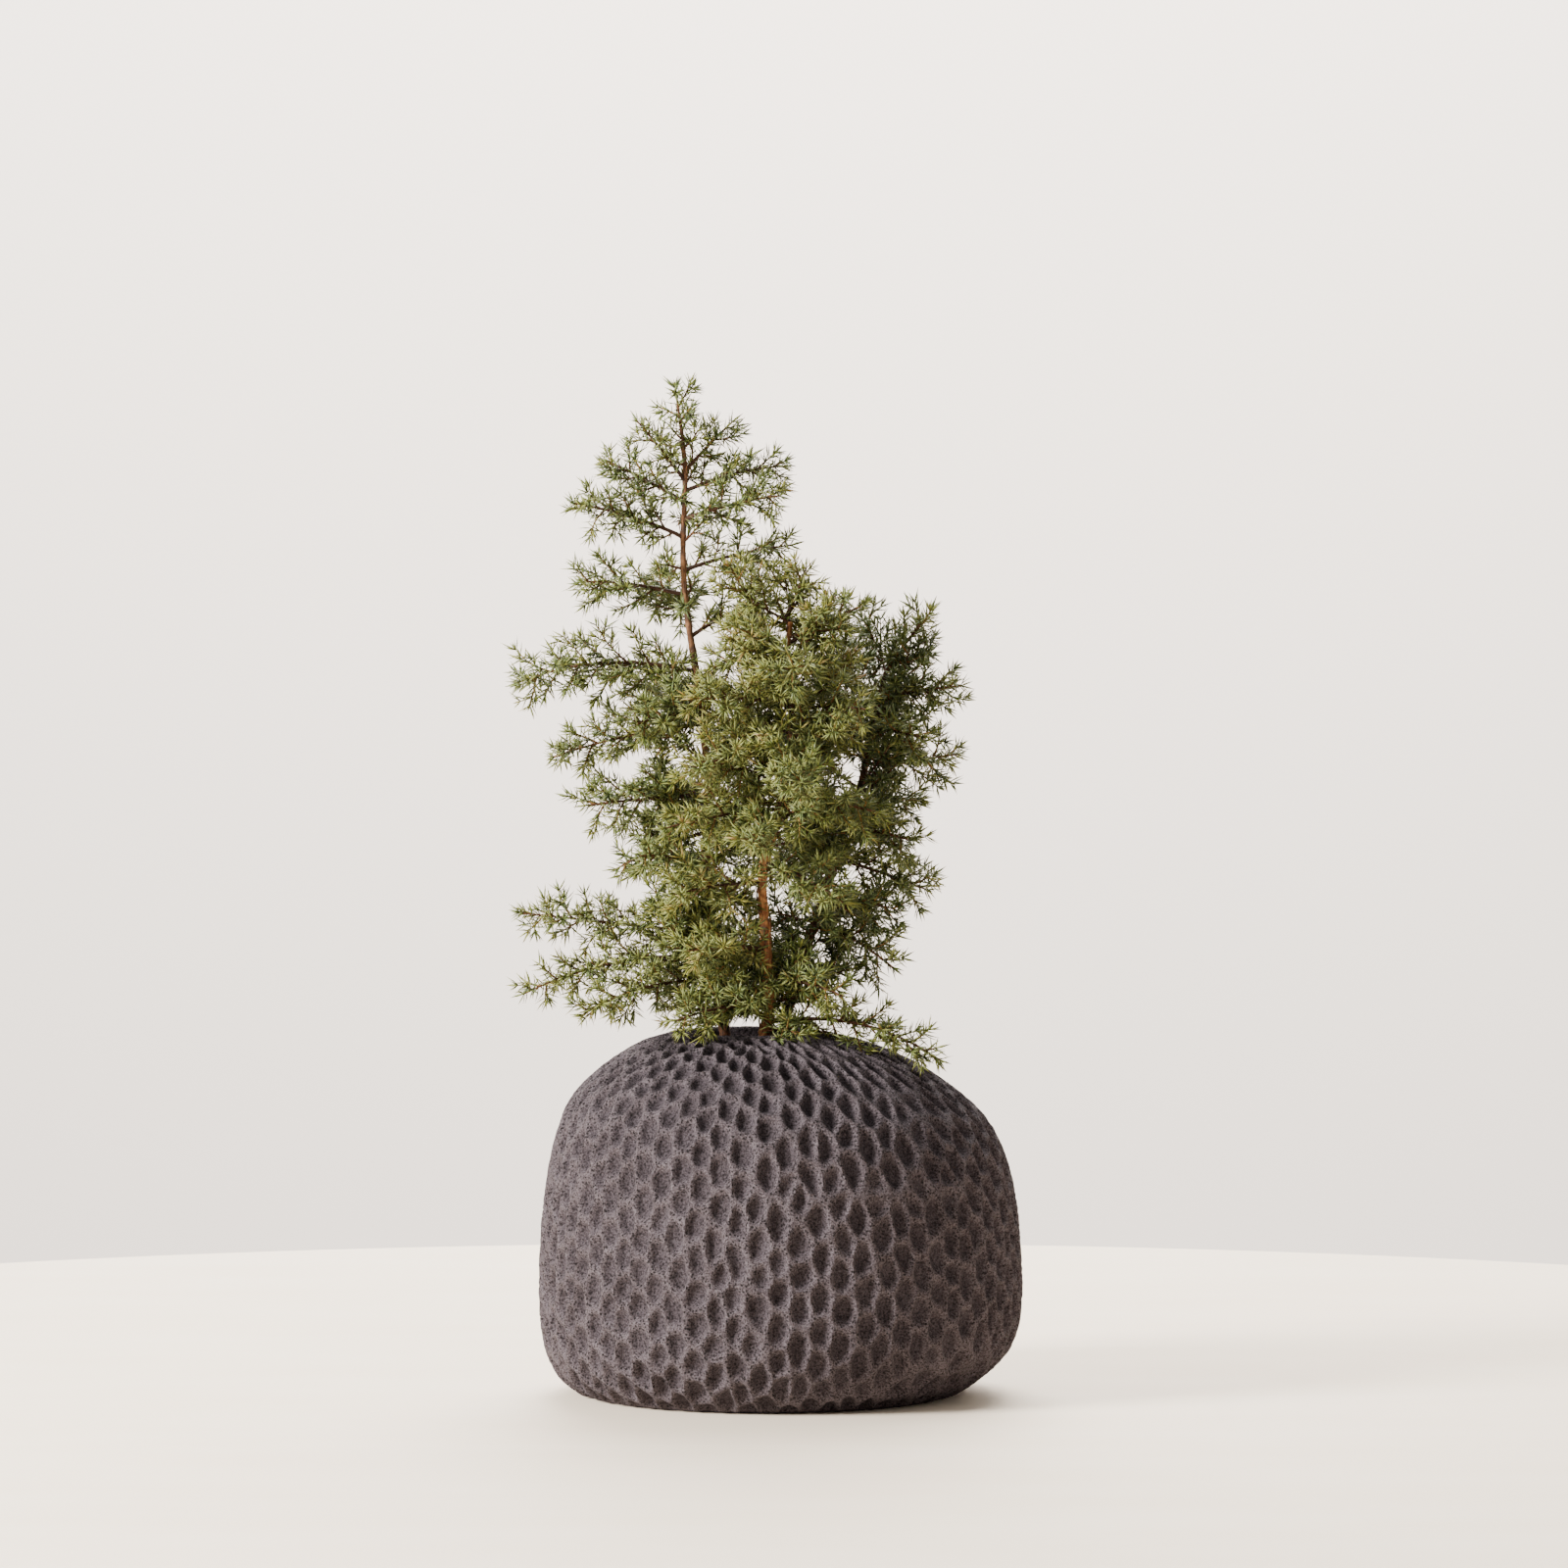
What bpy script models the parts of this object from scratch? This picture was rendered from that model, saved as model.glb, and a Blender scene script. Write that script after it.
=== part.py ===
"""Needle-juniper bonsai in an off-centre carved pot: the solid pieces, as a Blender 4.5 script.

Run it with blender --background --python part.py. The scene is in metres with +Z up, +X to
the right and -Y towards the front. All sizes below are in millimetres and are turned into
metres where a mesh is made. The origin is the centre of the pot's foot, on the surface that
the pot stands on.
"""

import math
from typing import NamedTuple

import bmesh
import bpy
import numpy as np
from mathutils import Vector

MM = 0.001
GAP = 0.3  # clearance between pieces that touch

# Pot
POT_SEGMENTS = 64
POT_DEPTH_RATIO = 0.97  # front-to-back width over side-to-side width
WALL = 8.0
FLOOR_TOP = 12.0
INNER_FLOOR_RADIUS = 88.0
MOUTH_RADIUS = 29.3
MOUTH_CENTRE_X = -9.75
RIM_HEIGHT = 186.0
FOOT_RING_WIDTH = 28.0
FOOT_RECESS_DEPTH = 2.5
DRAIN_RADIUS = 8.0

# Soil
SOIL_EDGE_HEIGHT = 164.0
SOIL_CROWN_HEIGHT = 167.0
SOIL_SIDE_GAP = 0.7  # level clearance, so that sloping walls keep theirs too
HOLE_SEGMENTS = 16

# Drainage mesh
MESH_THICKNESS = 1.2
MESH_CELLS = 5
MESH_CELL = 4.8
MESH_BAR = 1.4

# Stems and limbs
ROOT_CROWN_DEPTH = 26.0
STEM_SIDES = 10
STEM_STEP = 7.0
LIMB_SIDES = 8
LIMB_RADIUS = 1.3
LIMB_TAPER = 0.75
STUB_OVERLAP = 0.4  # how deep a limb starts beyond the stem's axis

# Foliage
SPRAY_SIDES = 8
SPRAY_SWELL = (0.34, 0.68, 0.92, 1.0, 0.98, 0.86, 0.62, 0.3)
SPRAY_FULLNESS = 1.25  # over the sizes that each spray gives


class Ring(NamedTuple):
    """A level section of the pot: its height, half-width and the place of its centre."""

    height: float
    half_width: float
    centre_x: float


class Stem(NamedTuple):
    """A woody stem through hand-placed points, from the soil up to its leader's foliage."""

    name: str
    base_radius: float
    tip_radius: float
    points: tuple


class Spray(NamedTuple):
    """One spray of foliage and its limb."""

    name: str
    leaves_at: float  # height where the limb leaves its stem
    tip: tuple
    rise: float = 4.0  # how far the limb's middle control point is lifted
    half_width: float = 12.0
    half_height: float = 9.0
    bare: float = 5.0  # bare limb between the stem and the foliage


POT_OUTSIDE = (
    Ring(0.0, 92.0, 0.0),
    Ring(2.5, 99.5, 0.5),
    Ring(10.0, 109.5, 1.8),
    Ring(20.0, 117.2, 4.4),
    Ring(34.0, 122.3, 6.3),
    Ring(53.0, 123.8, 6.8),
    Ring(78.0, 123.0, 6.6),
    Ring(103.0, 120.5, 6.4),
    Ring(125.0, 115.6, 5.4),
    Ring(141.0, 109.0, 3.2),
    Ring(152.0, 101.0, 0.6),
    Ring(161.0, 91.2, -1.4),
    Ring(168.0, 81.8, -2.9),
    Ring(175.0, 69.6, -4.9),
    Ring(181.0, 55.5, -7.4),
    Ring(185.0, 40.0, -9.2),
    Ring(RIM_HEIGHT, MOUTH_RADIUS + 3.0, MOUTH_CENTRE_X),
)

STEMS = (
    Stem(
        "tall_stem",
        2.9,
        1.2,
        (
            (-20.0, 8.0, 168.0),
            (-21.5, 8.5, 184.0),
            (-30.5, 13.0, 247.0),
            (-31.5, 15.0, 272.0),
            (-30.5, 16.0, 312.0),
            (-34.0, 14.0, 353.0),
            (-41.5, 11.0, 403.0),
            (-43.0, 9.0, 433.0),
            (-42.0, 8.0, 473.0),
            (-44.0, 7.0, 488.0),
        ),
    ),
    Stem(
        "front_stem",
        3.3,
        1.4,
        (
            (-3.5, -10.0, 168.0),
            (-1.5, -10.5, 184.0),
            (1.0, -11.5, 202.0),
            (-1.5, -14.0, 242.0),
            (-2.0, -15.0, 271.0),
            (6.0, -16.0, 298.0),
            (11.5, -15.0, 328.0),
            (12.5, -14.0, 353.0),
            (10.0, -13.0, 373.0),
            (11.5, -12.0, 396.0),
        ),
    ),
    Stem(
        "right_stem",
        2.7,
        1.3,
        (
            (6.5, 10.0, 168.0),
            (8.5, 10.5, 187.0),
            (23.5, 18.0, 237.0),
            (38.5, 22.0, 282.0),
            (48.5, 24.0, 313.0),
            (58.5, 24.0, 360.0),
            (63.0, 24.0, 372.0),
        ),
    ),
)

SPRAYS = {
    "tall_stem": (
        Spray("tall_left_foliage_1", 467.0, (-68.0, -8.0, 500.0), 2.0, 7.0, 6.5, 5.0),
        Spray("tall_right_foliage_1", 472.0, (-16.0, 16.0, 499.0), 2.0, 8.0, 6.5, 5.0),
        Spray("tall_right_foliage_2", 461.0, (11.0, 22.0, 474.0), 8.0, 10.0, 7.5),
        Spray("tall_left_foliage_2", 456.0, (-85.0, 14.0, 478.0), 3.0, 10.0, 7.5),
        Spray("tall_right_foliage_3", 447.0, (9.0, -8.0, 460.0), 5.0, 10.0, 7.5),
        Spray("tall_left_foliage_3", 438.0, (-101.0, -2.0, 456.0), 6.0, 11.0, 8.0),
        Spray("tall_right_foliage_4", 421.0, (15.0, 20.0, 434.0), 5.0, 11.0, 8.0),
        Spray("tall_left_foliage_4", 407.0, (-98.0, 4.0, 415.0), 8.0, 13.0, 10.0),
        Spray("tall_right_foliage_5", 386.0, (2.0, 28.0, 406.0), 8.0, 11.0, 8.0),
        Spray("tall_left_foliage_5", 367.0, (-129.0, -4.0, 363.0), 20.0, 15.0, 11.0, 8.0),
        Spray("tall_left_foliage_6", 342.0, (-112.0, 8.0, 325.0), 6.0, 12.0, 8.0),
        Spray("tall_left_foliage_7", 306.0, (-96.0, 0.0, 301.0), 2.0, 14.0, 10.0),
        Spray("tall_left_foliage_8", 286.0, (-80.0, 22.0, 266.0), 6.0, 11.0, 7.5),
        Spray("tall_back_foliage_1", 398.0, (-56.0, 62.0, 410.0), 6.0, 13.0, 9.0),
        Spray("tall_back_foliage_2", 350.0, (-64.0, 78.0, 350.0), 8.0, 15.0, 10.0),
        Spray("tall_back_foliage_3", 298.0, (-54.0, 82.0, 292.0), 8.0, 15.0, 11.0),
        Spray("tall_front_foliage_1", 346.0, (-68.0, -34.0, 344.0), 6.0, 10.0, 7.0),
        Spray("tall_front_foliage_2", 270.0, (-66.0, -36.0, 278.0), 4.0, 9.0, 6.5),
        Spray("low_left_foliage_1", 235.0, (-128.0, -2.0, 247.0), 0.0, 10.5, 7.0, 8.0),
        Spray("low_left_foliage_2", 222.0, (-126.0, -28.0, 206.0), 16.0, 10.0, 6.8, 8.0),
        Spray("low_left_foliage_3", 210.0, (-96.0, -56.0, 197.0), 14.0, 9.5, 6.8, 8.0),
    ),
    "front_stem": (
        Spray("front_left_foliage_1", 380.0, (-24.0, -32.0, 388.0), 4.0, 11.0, 9.0),
        Spray("front_right_foliage_1", 384.0, (51.0, -18.0, 405.0), 4.0, 8.0, 6.6),
        Spray("front_near_foliage_1", 368.0, (14.0, -64.0, 374.0), 5.0, 12.0, 9.0),
        Spray("front_left_foliage_2", 354.0, (-38.0, -44.0, 358.0), 4.0, 12.0, 9.0),
        Spray("front_right_foliage_2", 350.0, (52.0, -44.0, 352.0), 6.0, 12.0, 9.0),
        Spray("front_left_foliage_3", 330.0, (-42.0, -54.0, 322.0), 6.0, 13.0, 9.0),
        Spray("front_near_foliage_2", 316.0, (18.0, -80.0, 316.0), 8.0, 13.0, 9.0),
        Spray("front_right_foliage_3", 304.0, (58.0, -50.0, 300.0), 6.0, 13.0, 9.0),
        Spray("front_left_foliage_4", 300.0, (-54.0, -50.0, 292.0), 5.0, 10.5, 8.0),
        Spray("front_near_foliage_3", 292.0, (-8.0, -78.0, 286.0), 4.0, 9.0, 6.5),
        Spray("front_right_foliage_4", 272.0, (40.0, -56.0, 254.0), 8.0, 13.0, 9.0),
        Spray("front_left_foliage_5", 262.0, (-50.0, -44.0, 258.0), 5.0, 12.0, 9.0),
        Spray("front_left_foliage_6", 228.0, (-42.0, -50.0, 230.0), 5.0, 11.0, 8.0),
        Spray("front_low_foliage_1", 199.0, (-48.0, -50.0, 194.0), 8.0, 12.0, 7.0),
        Spray("front_low_foliage_2", 190.0, (90.0, -30.0, 172.0), 22.0, 10.0, 6.5),
        Spray("front_low_foliage_3", 212.0, (40.0, -46.0, 206.0), 8.0, 11.0, 8.0),
    ),
    "right_stem": (
        Spray("right_far_foliage_1", 354.0, (102.0, 14.0, 362.0), 4.0, 12.0, 9.0),
        Spray("right_far_foliage_2", 322.0, (101.0, 30.0, 327.0), -2.0, 13.0, 9.0),
        Spray("right_far_foliage_3", 300.0, (80.0, 50.0, 302.0), 4.0, 10.0, 7.5),
        Spray("right_far_foliage_4", 272.0, (84.0, 16.0, 256.0), 4.0, 13.0, 9.0),
        Spray("right_far_foliage_5", 240.0, (66.0, 8.0, 216.0), 8.0, 12.0, 8.0),
        Spray("right_back_foliage_1", 346.0, (62.0, 76.0, 352.0), 6.0, 14.0, 9.0),
        Spray("right_back_foliage_2", 290.0, (52.0, 86.0, 282.0), 8.0, 15.0, 10.0),
        Spray("right_back_foliage_3", 250.0, (50.0, 72.0, 236.0), 8.0, 14.0, 9.0),
        Spray("right_inner_foliage_1", 334.0, (6.0, 60.0, 340.0), 4.0, 13.0, 9.0),
        Spray("right_inner_foliage_2", 274.0, (-4.0, 62.0, 268.0), 6.0, 13.0, 9.0),
        Spray("right_near_foliage_1", 338.0, (80.0, -18.0, 336.0), 6.0, 12.0, 9.0),
        Spray("right_near_foliage_2", 288.0, (74.0, -16.0, 284.0), 4.0, 12.0, 9.0),
    ),
}

LEADERS = {
    "tall_stem": Spray("tall_leader_foliage", 488.0, (-46.5, 6.0, 518.0), 0.0, 9.0, 9.0),
    "front_stem": Spray("front_leader_foliage", 396.0, (18.5, -12.0, 426.0), 0.0, 9.6, 9.6),
    "right_stem": Spray("right_leader_foliage", 372.0, (82.0, 24.0, 398.0), 2.0, 11.0, 9.0),
}


def clear_scene() -> None:
    """Removes every object that is in the scene."""
    for thing in list(bpy.data.objects):
        bpy.data.objects.remove(thing, do_unlink=True)


def material(name: str, colour: tuple, roughness: float) -> bpy.types.Material:
    """Makes, or finds, a matt Principled material with this linear colour."""
    found = bpy.data.materials.get(name)
    if found:
        return found
    made = bpy.data.materials.new(name)
    made.use_nodes = True
    made.diffuse_color = (*colour, 1.0)
    shader = made.node_tree.nodes["Principled BSDF"]
    shader.inputs["Base Color"].default_value = (*colour, 1.0)
    shader.inputs["Roughness"].default_value = roughness
    shader.inputs["Metallic"].default_value = 0.0
    return made


def stoneware() -> bpy.types.Material:
    """The pot's unglazed grey-brown stoneware."""
    return material("unglazed_stoneware", (0.062, 0.050, 0.054), 0.9)


def soil_grit() -> bpy.types.Material:
    """Damp dark potting soil."""
    return material("potting_soil", (0.022, 0.015, 0.010), 0.95)


def black_plastic() -> bpy.types.Material:
    """The drainage mesh's black plastic."""
    return material("mesh_plastic", (0.02, 0.02, 0.02), 0.5)


def bark() -> bpy.types.Material:
    """Reddish peeling juniper bark."""
    return material("juniper_bark", (0.200, 0.080, 0.038), 0.8)


def needles() -> bpy.types.Material:
    """Olive-green juniper needles."""
    return material("juniper_needles", (0.110, 0.130, 0.040), 0.6)


def finish_mesh(name: str, mesh: bmesh.types.BMesh, look: bpy.types.Material) -> bpy.types.Object:
    """Turns a closed bmesh in millimetres into a named object in metres, facing outward."""
    bmesh.ops.scale(mesh, vec=(MM, MM, MM), verts=mesh.verts)
    bmesh.ops.recalc_face_normals(mesh, faces=mesh.faces)
    data = bpy.data.meshes.new(name)
    mesh.to_mesh(data)
    mesh.free()
    data.shade_smooth()
    data.set_sharp_from_angle(angle=math.radians(40))
    data.materials.append(look)
    made = bpy.data.objects.new(name, data)
    bpy.context.scene.collection.objects.link(made)
    return made


def skin(mesh: bmesh.types.BMesh, rings: list, loops_back: bool = False) -> None:
    """Joins rings of points with quads; the ends are capped or, if it loops back, joined."""
    rows = [[mesh.verts.new(point) for point in ring] for ring in rings]
    count = len(rows[0])
    pairs = list(zip(rows, rows[1:]))
    if loops_back:
        pairs.append((rows[-1], rows[0]))
    else:
        mesh.faces.new(rows[0])
        mesh.faces.new(rows[-1])
    for lower, upper in pairs:
        for i in range(count):
            j = (i + 1) % count
            mesh.faces.new((lower[i], lower[j], upper[j], upper[i]))


def smooth_through(points: list, steps: int) -> list:
    """Returns points on a Catmull-Rom curve through the given ones, with steps per span."""
    fixed = [np.array(point, float) for point in points]
    ends = [2 * fixed[0] - fixed[1], *fixed, 2 * fixed[-1] - fixed[-2]]
    made = []
    for a, b, c, d in zip(ends, ends[1:], ends[2:], ends[3:]):
        for step in range(steps):
            t = step / steps
            made.append(
                0.5
                * (
                    2 * b
                    + (c - a) * t
                    + (2 * a - 5 * b + 4 * c - d) * t**2
                    + (3 * b - a - 3 * c + d) * t**3
                )
            )
    return [*made, fixed[-1]]


def ring_points(ring: Ring) -> list:
    """The points of a level elliptical ring of the pot or the soil."""
    turns = [2 * math.pi * i / POT_SEGMENTS for i in range(POT_SEGMENTS)]
    return [
        (
            ring.centre_x + ring.half_width * math.cos(turn),
            ring.half_width * POT_DEPTH_RATIO * math.sin(turn),
            ring.height,
        )
        for turn in turns
    ]


def inset_profile(profile: list, depth: float) -> list:
    """Moves a profile inward by depth, square to its slope."""
    moved = []
    for before, ring, after in zip(profile, profile[1:], profile[2:]):
        rise = after.height - before.height
        widening = after.half_width - before.half_width
        length = math.hypot(rise, widening)
        moved.append(
            Ring(
                ring.height + depth * widening / length,
                ring.half_width - depth * rise / length,
                ring.centre_x,
            )
        )
    return moved


def inner_profile() -> list:
    """The pot's inside wall, from just above its floor up to the neck."""
    return [
        ring
        for ring in inset_profile(POT_OUTSIDE, WALL)
        if ring.height > FLOOR_TOP + 4.0 and ring.half_width > MOUTH_RADIUS + 2.0
    ]


def build_pot() -> None:
    """The hollow pot: one closed wall with its mouth, foot ring and drain hole."""
    inner = inner_profile()
    recess_radius = POT_OUTSIDE[0].half_width - FOOT_RING_WIDTH
    rings = [
        Ring(FOOT_RECESS_DEPTH, DRAIN_RADIUS, 0.0),
        Ring(FOOT_RECESS_DEPTH, recess_radius - FOOT_RECESS_DEPTH, 0.0),
        Ring(0.0, recess_radius, 0.0),
        *POT_OUTSIDE,
        Ring(RIM_HEIGHT - 0.5, MOUTH_RADIUS + 0.9, MOUTH_CENTRE_X),
        Ring(RIM_HEIGHT - 2.2, MOUTH_RADIUS, MOUTH_CENTRE_X),
        Ring(inner[-1].height + 1.5, MOUTH_RADIUS, MOUTH_CENTRE_X),
        *reversed(inner),
        Ring(FLOOR_TOP, INNER_FLOOR_RADIUS, 0.5),
        Ring(FLOOR_TOP, DRAIN_RADIUS, 0.0),
    ]
    mesh = bmesh.new()
    skin(mesh, [ring_points(ring) for ring in rings], loops_back=True)
    finish_mesh("pot", mesh, stoneware())


def build_soil() -> None:
    """The soil with its fine roots: it fills the pot, with a blind hole for each stem."""
    inner = inner_profile()
    heights = [ring.height for ring in inner]
    edge_width = np.interp(SOIL_EDGE_HEIGHT, heights, [ring.half_width for ring in inner])
    edge_centre = np.interp(SOIL_EDGE_HEIGHT, heights, [ring.centre_x for ring in inner])
    sides = [ring for ring in inner if ring.height < SOIL_EDGE_HEIGHT - 2.0]
    sides.append(Ring(SOIL_EDGE_HEIGHT, edge_width, edge_centre))
    rings = [
        Ring(FLOOR_TOP + MESH_THICKNESS + 2 * GAP, INNER_FLOOR_RADIUS - 3.0, 0.5),
        *[Ring(ring.height, ring.half_width - SOIL_SIDE_GAP, ring.centre_x) for ring in sides],
        Ring(SOIL_CROWN_HEIGHT, edge_width * 0.5, MOUTH_CENTRE_X),
    ]
    mesh = bmesh.new()
    skin(mesh, [ring_points(ring) for ring in rings])
    soil = finish_mesh("potting_soil", mesh, soil_grit())
    for stem in STEMS:
        cut = soil.modifiers.new(f"hole_for_{stem.name}", "BOOLEAN")
        cut.operation = "DIFFERENCE"
        cut.object = stem_hole(stem)


def stem_hole(stem: Stem) -> bpy.types.Object:
    """The cutter for the blind hole that a stem's root crown stands in."""
    x, y, top = stem.points[0]
    radius = (stem.base_radius + GAP) / math.cos(math.pi / HOLE_SEGMENTS)
    bottom = top - ROOT_CROWN_DEPTH - GAP
    height = top + 8.0 - bottom
    mesh = bmesh.new()
    bmesh.ops.create_cone(
        mesh,
        cap_ends=True,
        segments=HOLE_SEGMENTS,
        radius1=radius,
        radius2=radius,
        depth=height,
    )
    bmesh.ops.translate(mesh, vec=(x, y, bottom + height / 2), verts=mesh.verts)
    cutter = finish_mesh(f"{stem.name}_hole_cutter", mesh, soil_grit())
    cutter.hide_render = True
    cutter.display_type = "WIRE"
    return cutter


def build_drainage_mesh() -> None:
    """A square plastic mesh that lies over the drain hole, under the soil."""
    mesh = bmesh.new()
    lines = 2 * MESH_CELLS + 2
    edges = []
    for i in range(lines):
        start = (i // 2) * MESH_CELL + (i % 2) * MESH_BAR
        edges.append(start - (MESH_CELLS * MESH_CELL + MESH_BAR) / 2)
    verts = [[mesh.verts.new((x, y, FLOOR_TOP + GAP)) for x in edges] for y in edges]
    for row in range(lines - 1):
        for column in range(lines - 1):
            if row % 2 and column % 2:
                continue
            mesh.faces.new(
                (
                    verts[row][column],
                    verts[row][column + 1],
                    verts[row + 1][column + 1],
                    verts[row + 1][column],
                )
            )
    raised = bmesh.ops.extrude_face_region(mesh, geom=list(mesh.faces), use_keep_orig=True)
    tops = [item for item in raised["geom"] if isinstance(item, bmesh.types.BMVert)]
    bmesh.ops.translate(mesh, vec=(0, 0, MESH_THICKNESS), verts=tops)
    finish_mesh("drainage_mesh", mesh, black_plastic())


def even_steps(points: list, step: float) -> list:
    """Resamples a smooth path to evenly spaced points about step apart."""
    path = np.array(points)
    lengths = np.concatenate([[0], np.cumsum(np.linalg.norm(np.diff(path, axis=0), axis=1))])
    count = max(2, round(lengths[-1] / step) + 1)
    places = np.linspace(0, lengths[-1], count)
    return [Vector([np.interp(at, lengths, path[:, k]) for k in range(3)]) for at in places]


def tube_rings(path: list, radii: list, sides: int) -> list:
    """Round rings along a path, square to it and free of twist."""
    rings = []
    across = Vector((1, 0, 0))
    for i, centre in enumerate(path):
        ahead = (path[min(i + 1, len(path) - 1)] - path[max(i - 1, 0)]).normalized()
        across = (across - ahead * across.dot(ahead)).normalized()
        up = ahead.cross(across)
        turns = [2 * math.pi * k / sides for k in range(sides)]
        rings.append(
            [centre + radii[i] * (across * math.cos(t) + up * math.sin(t)) for t in turns]
        )
    return rings


def stem_path(stem: Stem) -> list:
    """The stem's axis from its buried crown to its top, in even steps."""
    x, y, soil_top = stem.points[0]
    crown = [Vector((x, y, soil_top - ROOT_CROWN_DEPTH)), Vector((x, y, soil_top - 2.0))]
    return crown + even_steps(smooth_through(stem.points, 8), STEM_STEP)


def radius_at(stem: Stem, height: float) -> float:
    """The stem's radius at this height."""
    bottom, top = stem.points[0][2], stem.points[-1][2]
    share = min(1.0, max(0.0, (height - bottom) / (top - bottom)))
    return stem.base_radius + (stem.tip_radius - stem.base_radius) * share


def point_at(stem: Stem, height: float) -> Vector:
    """The point of the stem's axis at this height."""
    path = np.array(smooth_through(stem.points, 8))
    return Vector([np.interp(height, path[:, 2], path[:, k]) for k in range(3)])


def limb_path(start: Vector, spray: Spray) -> list:
    """The limb's curve from the stem's axis out to the spray's tip."""
    tip = Vector(spray.tip)
    middle = (start + tip) / 2 + Vector((0, 0, spray.rise))
    shares = [i / 40 for i in range(41)]
    curve = [start * (1 - t) ** 2 + middle * (2 * t * (1 - t)) + tip * t**2 for t in shares]
    return even_steps(curve, 1.0)


def build_spray(spray: Spray, path: list) -> None:
    """A plain closed solid with the outer shape of one spray of twigs and needles."""
    sections = len(SPRAY_SWELL)
    centres = [path[round(i * (len(path) - 1) / (sections - 1))] for i in range(sections)]
    rings = []
    for i, (centre, swell) in enumerate(zip(centres, SPRAY_SWELL)):
        ahead = (centres[min(i + 1, sections - 1)] - centres[max(i - 1, 0)]).normalized()
        side = ahead.cross(Vector((0, 0, 1)))
        side = side.normalized() if side.length > 0.3 else Vector((1, 0, 0))
        up = side.cross(ahead)
        full = SPRAY_FULLNESS * swell
        wide, high = spray.half_width * full, spray.half_height * full
        turns = [2 * math.pi * (k + 0.5) / SPRAY_SIDES for k in range(SPRAY_SIDES)]
        rings.append(
            [centre + side * (wide * math.cos(t)) + up * (high * math.sin(t)) for t in turns]
        )
    mesh = bmesh.new()
    skin(mesh, rings)
    finish_mesh(spray.name, mesh, needles())


def build_limbs(stem: Stem) -> bpy.types.Object:
    """The bare bases of the stem's limbs as one helper, and each limb's spray of foliage."""
    mesh = bmesh.new()
    for spray in SPRAYS[stem.name]:
        start = point_at(stem, spray.leaves_at)
        path = limb_path(start, spray)
        bare_end = round(radius_at(stem, spray.leaves_at) + spray.bare)
        build_spray(spray, path[bare_end:])
        ahead = (path[bare_end] - path[bare_end - 1]).normalized()
        outward = (path[1] - path[0]).normalized()
        stub = [start - outward * STUB_OVERLAP, *path[2:bare_end:2], path[bare_end] - ahead * GAP]
        radii = np.linspace(LIMB_RADIUS, LIMB_RADIUS * LIMB_TAPER, len(stub))
        skin(mesh, tube_rings(stub, radii.tolist(), LIMB_SIDES))
    helper = finish_mesh(f"{stem.name}_limbs", mesh, bark())
    helper.hide_render = True
    helper.display_type = "WIRE"
    return helper


def build_stem(stem: Stem) -> None:
    """One stem with the bare bases of its limbs, and the foliage that it carries."""
    path = stem_path(stem)
    radii = [radius_at(stem, point.z) for point in path]
    mesh = bmesh.new()
    skin(mesh, tube_rings(path, radii, STEM_SIDES))
    made = finish_mesh(stem.name, mesh, bark())
    join = made.modifiers.new("limbs", "BOOLEAN")
    join.operation = "UNION"
    join.object = build_limbs(stem)
    leader = LEADERS[stem.name]
    start = Vector(stem.points[-1]) + (path[-1] - path[-2]).normalized() * GAP
    build_spray(leader, limb_path(start, leader))


def main() -> None:
    """Builds every piece."""
    clear_scene()
    build_pot()
    build_soil()
    build_drainage_mesh()
    for stem in STEMS:
        build_stem(stem)


main()
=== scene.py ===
"""Needle-juniper bonsai in a carved stoneware pot: the looks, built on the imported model.

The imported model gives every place. Lengths are in millimetres until a mesh is made, because
needles, pores and gouge marks are thought of in millimetres.
"""

import logging
import math
from dataclasses import dataclass, field
from enum import Enum

import bpy
import numpy as np
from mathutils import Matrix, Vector, noise


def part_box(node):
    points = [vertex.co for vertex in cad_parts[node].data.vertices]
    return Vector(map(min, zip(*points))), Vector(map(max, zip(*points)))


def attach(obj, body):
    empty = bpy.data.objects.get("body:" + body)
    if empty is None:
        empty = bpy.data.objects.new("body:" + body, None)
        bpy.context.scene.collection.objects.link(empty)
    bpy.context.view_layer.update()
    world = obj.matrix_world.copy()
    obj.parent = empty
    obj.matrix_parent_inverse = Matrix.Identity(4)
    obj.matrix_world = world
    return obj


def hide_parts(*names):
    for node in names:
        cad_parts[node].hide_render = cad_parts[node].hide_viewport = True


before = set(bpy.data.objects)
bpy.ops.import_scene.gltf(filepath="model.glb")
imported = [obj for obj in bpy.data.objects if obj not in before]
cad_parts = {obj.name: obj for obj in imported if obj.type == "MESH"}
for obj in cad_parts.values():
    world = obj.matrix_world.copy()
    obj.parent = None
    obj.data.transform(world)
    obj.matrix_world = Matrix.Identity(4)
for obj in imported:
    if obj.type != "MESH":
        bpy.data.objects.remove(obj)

Array = np.ndarray
Random = np.random.Generator
Piece = bpy.types.Object
Look = bpy.types.Material
Tree = bpy.types.NodeTree
Point = tuple[float, float, float]
Blade = tuple[Array, Array, Array]  # points, triangles and the chart place of each corner

MM = 0.001
ROOT = "root"
TWIG_STEP = 1.5  # millimetres between the points of a twig's line
SPIRAL_TURN = 2.4  # radians from one twig to the next round its limb, the golden angle
OFF_AXIS = np.array([0.31, 0.2, 0.93])  # a direction that no twig follows exactly
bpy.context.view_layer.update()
LOG = logging.getLogger("bonsai")


# ---------------------------------------------------------------- helpers


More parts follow.
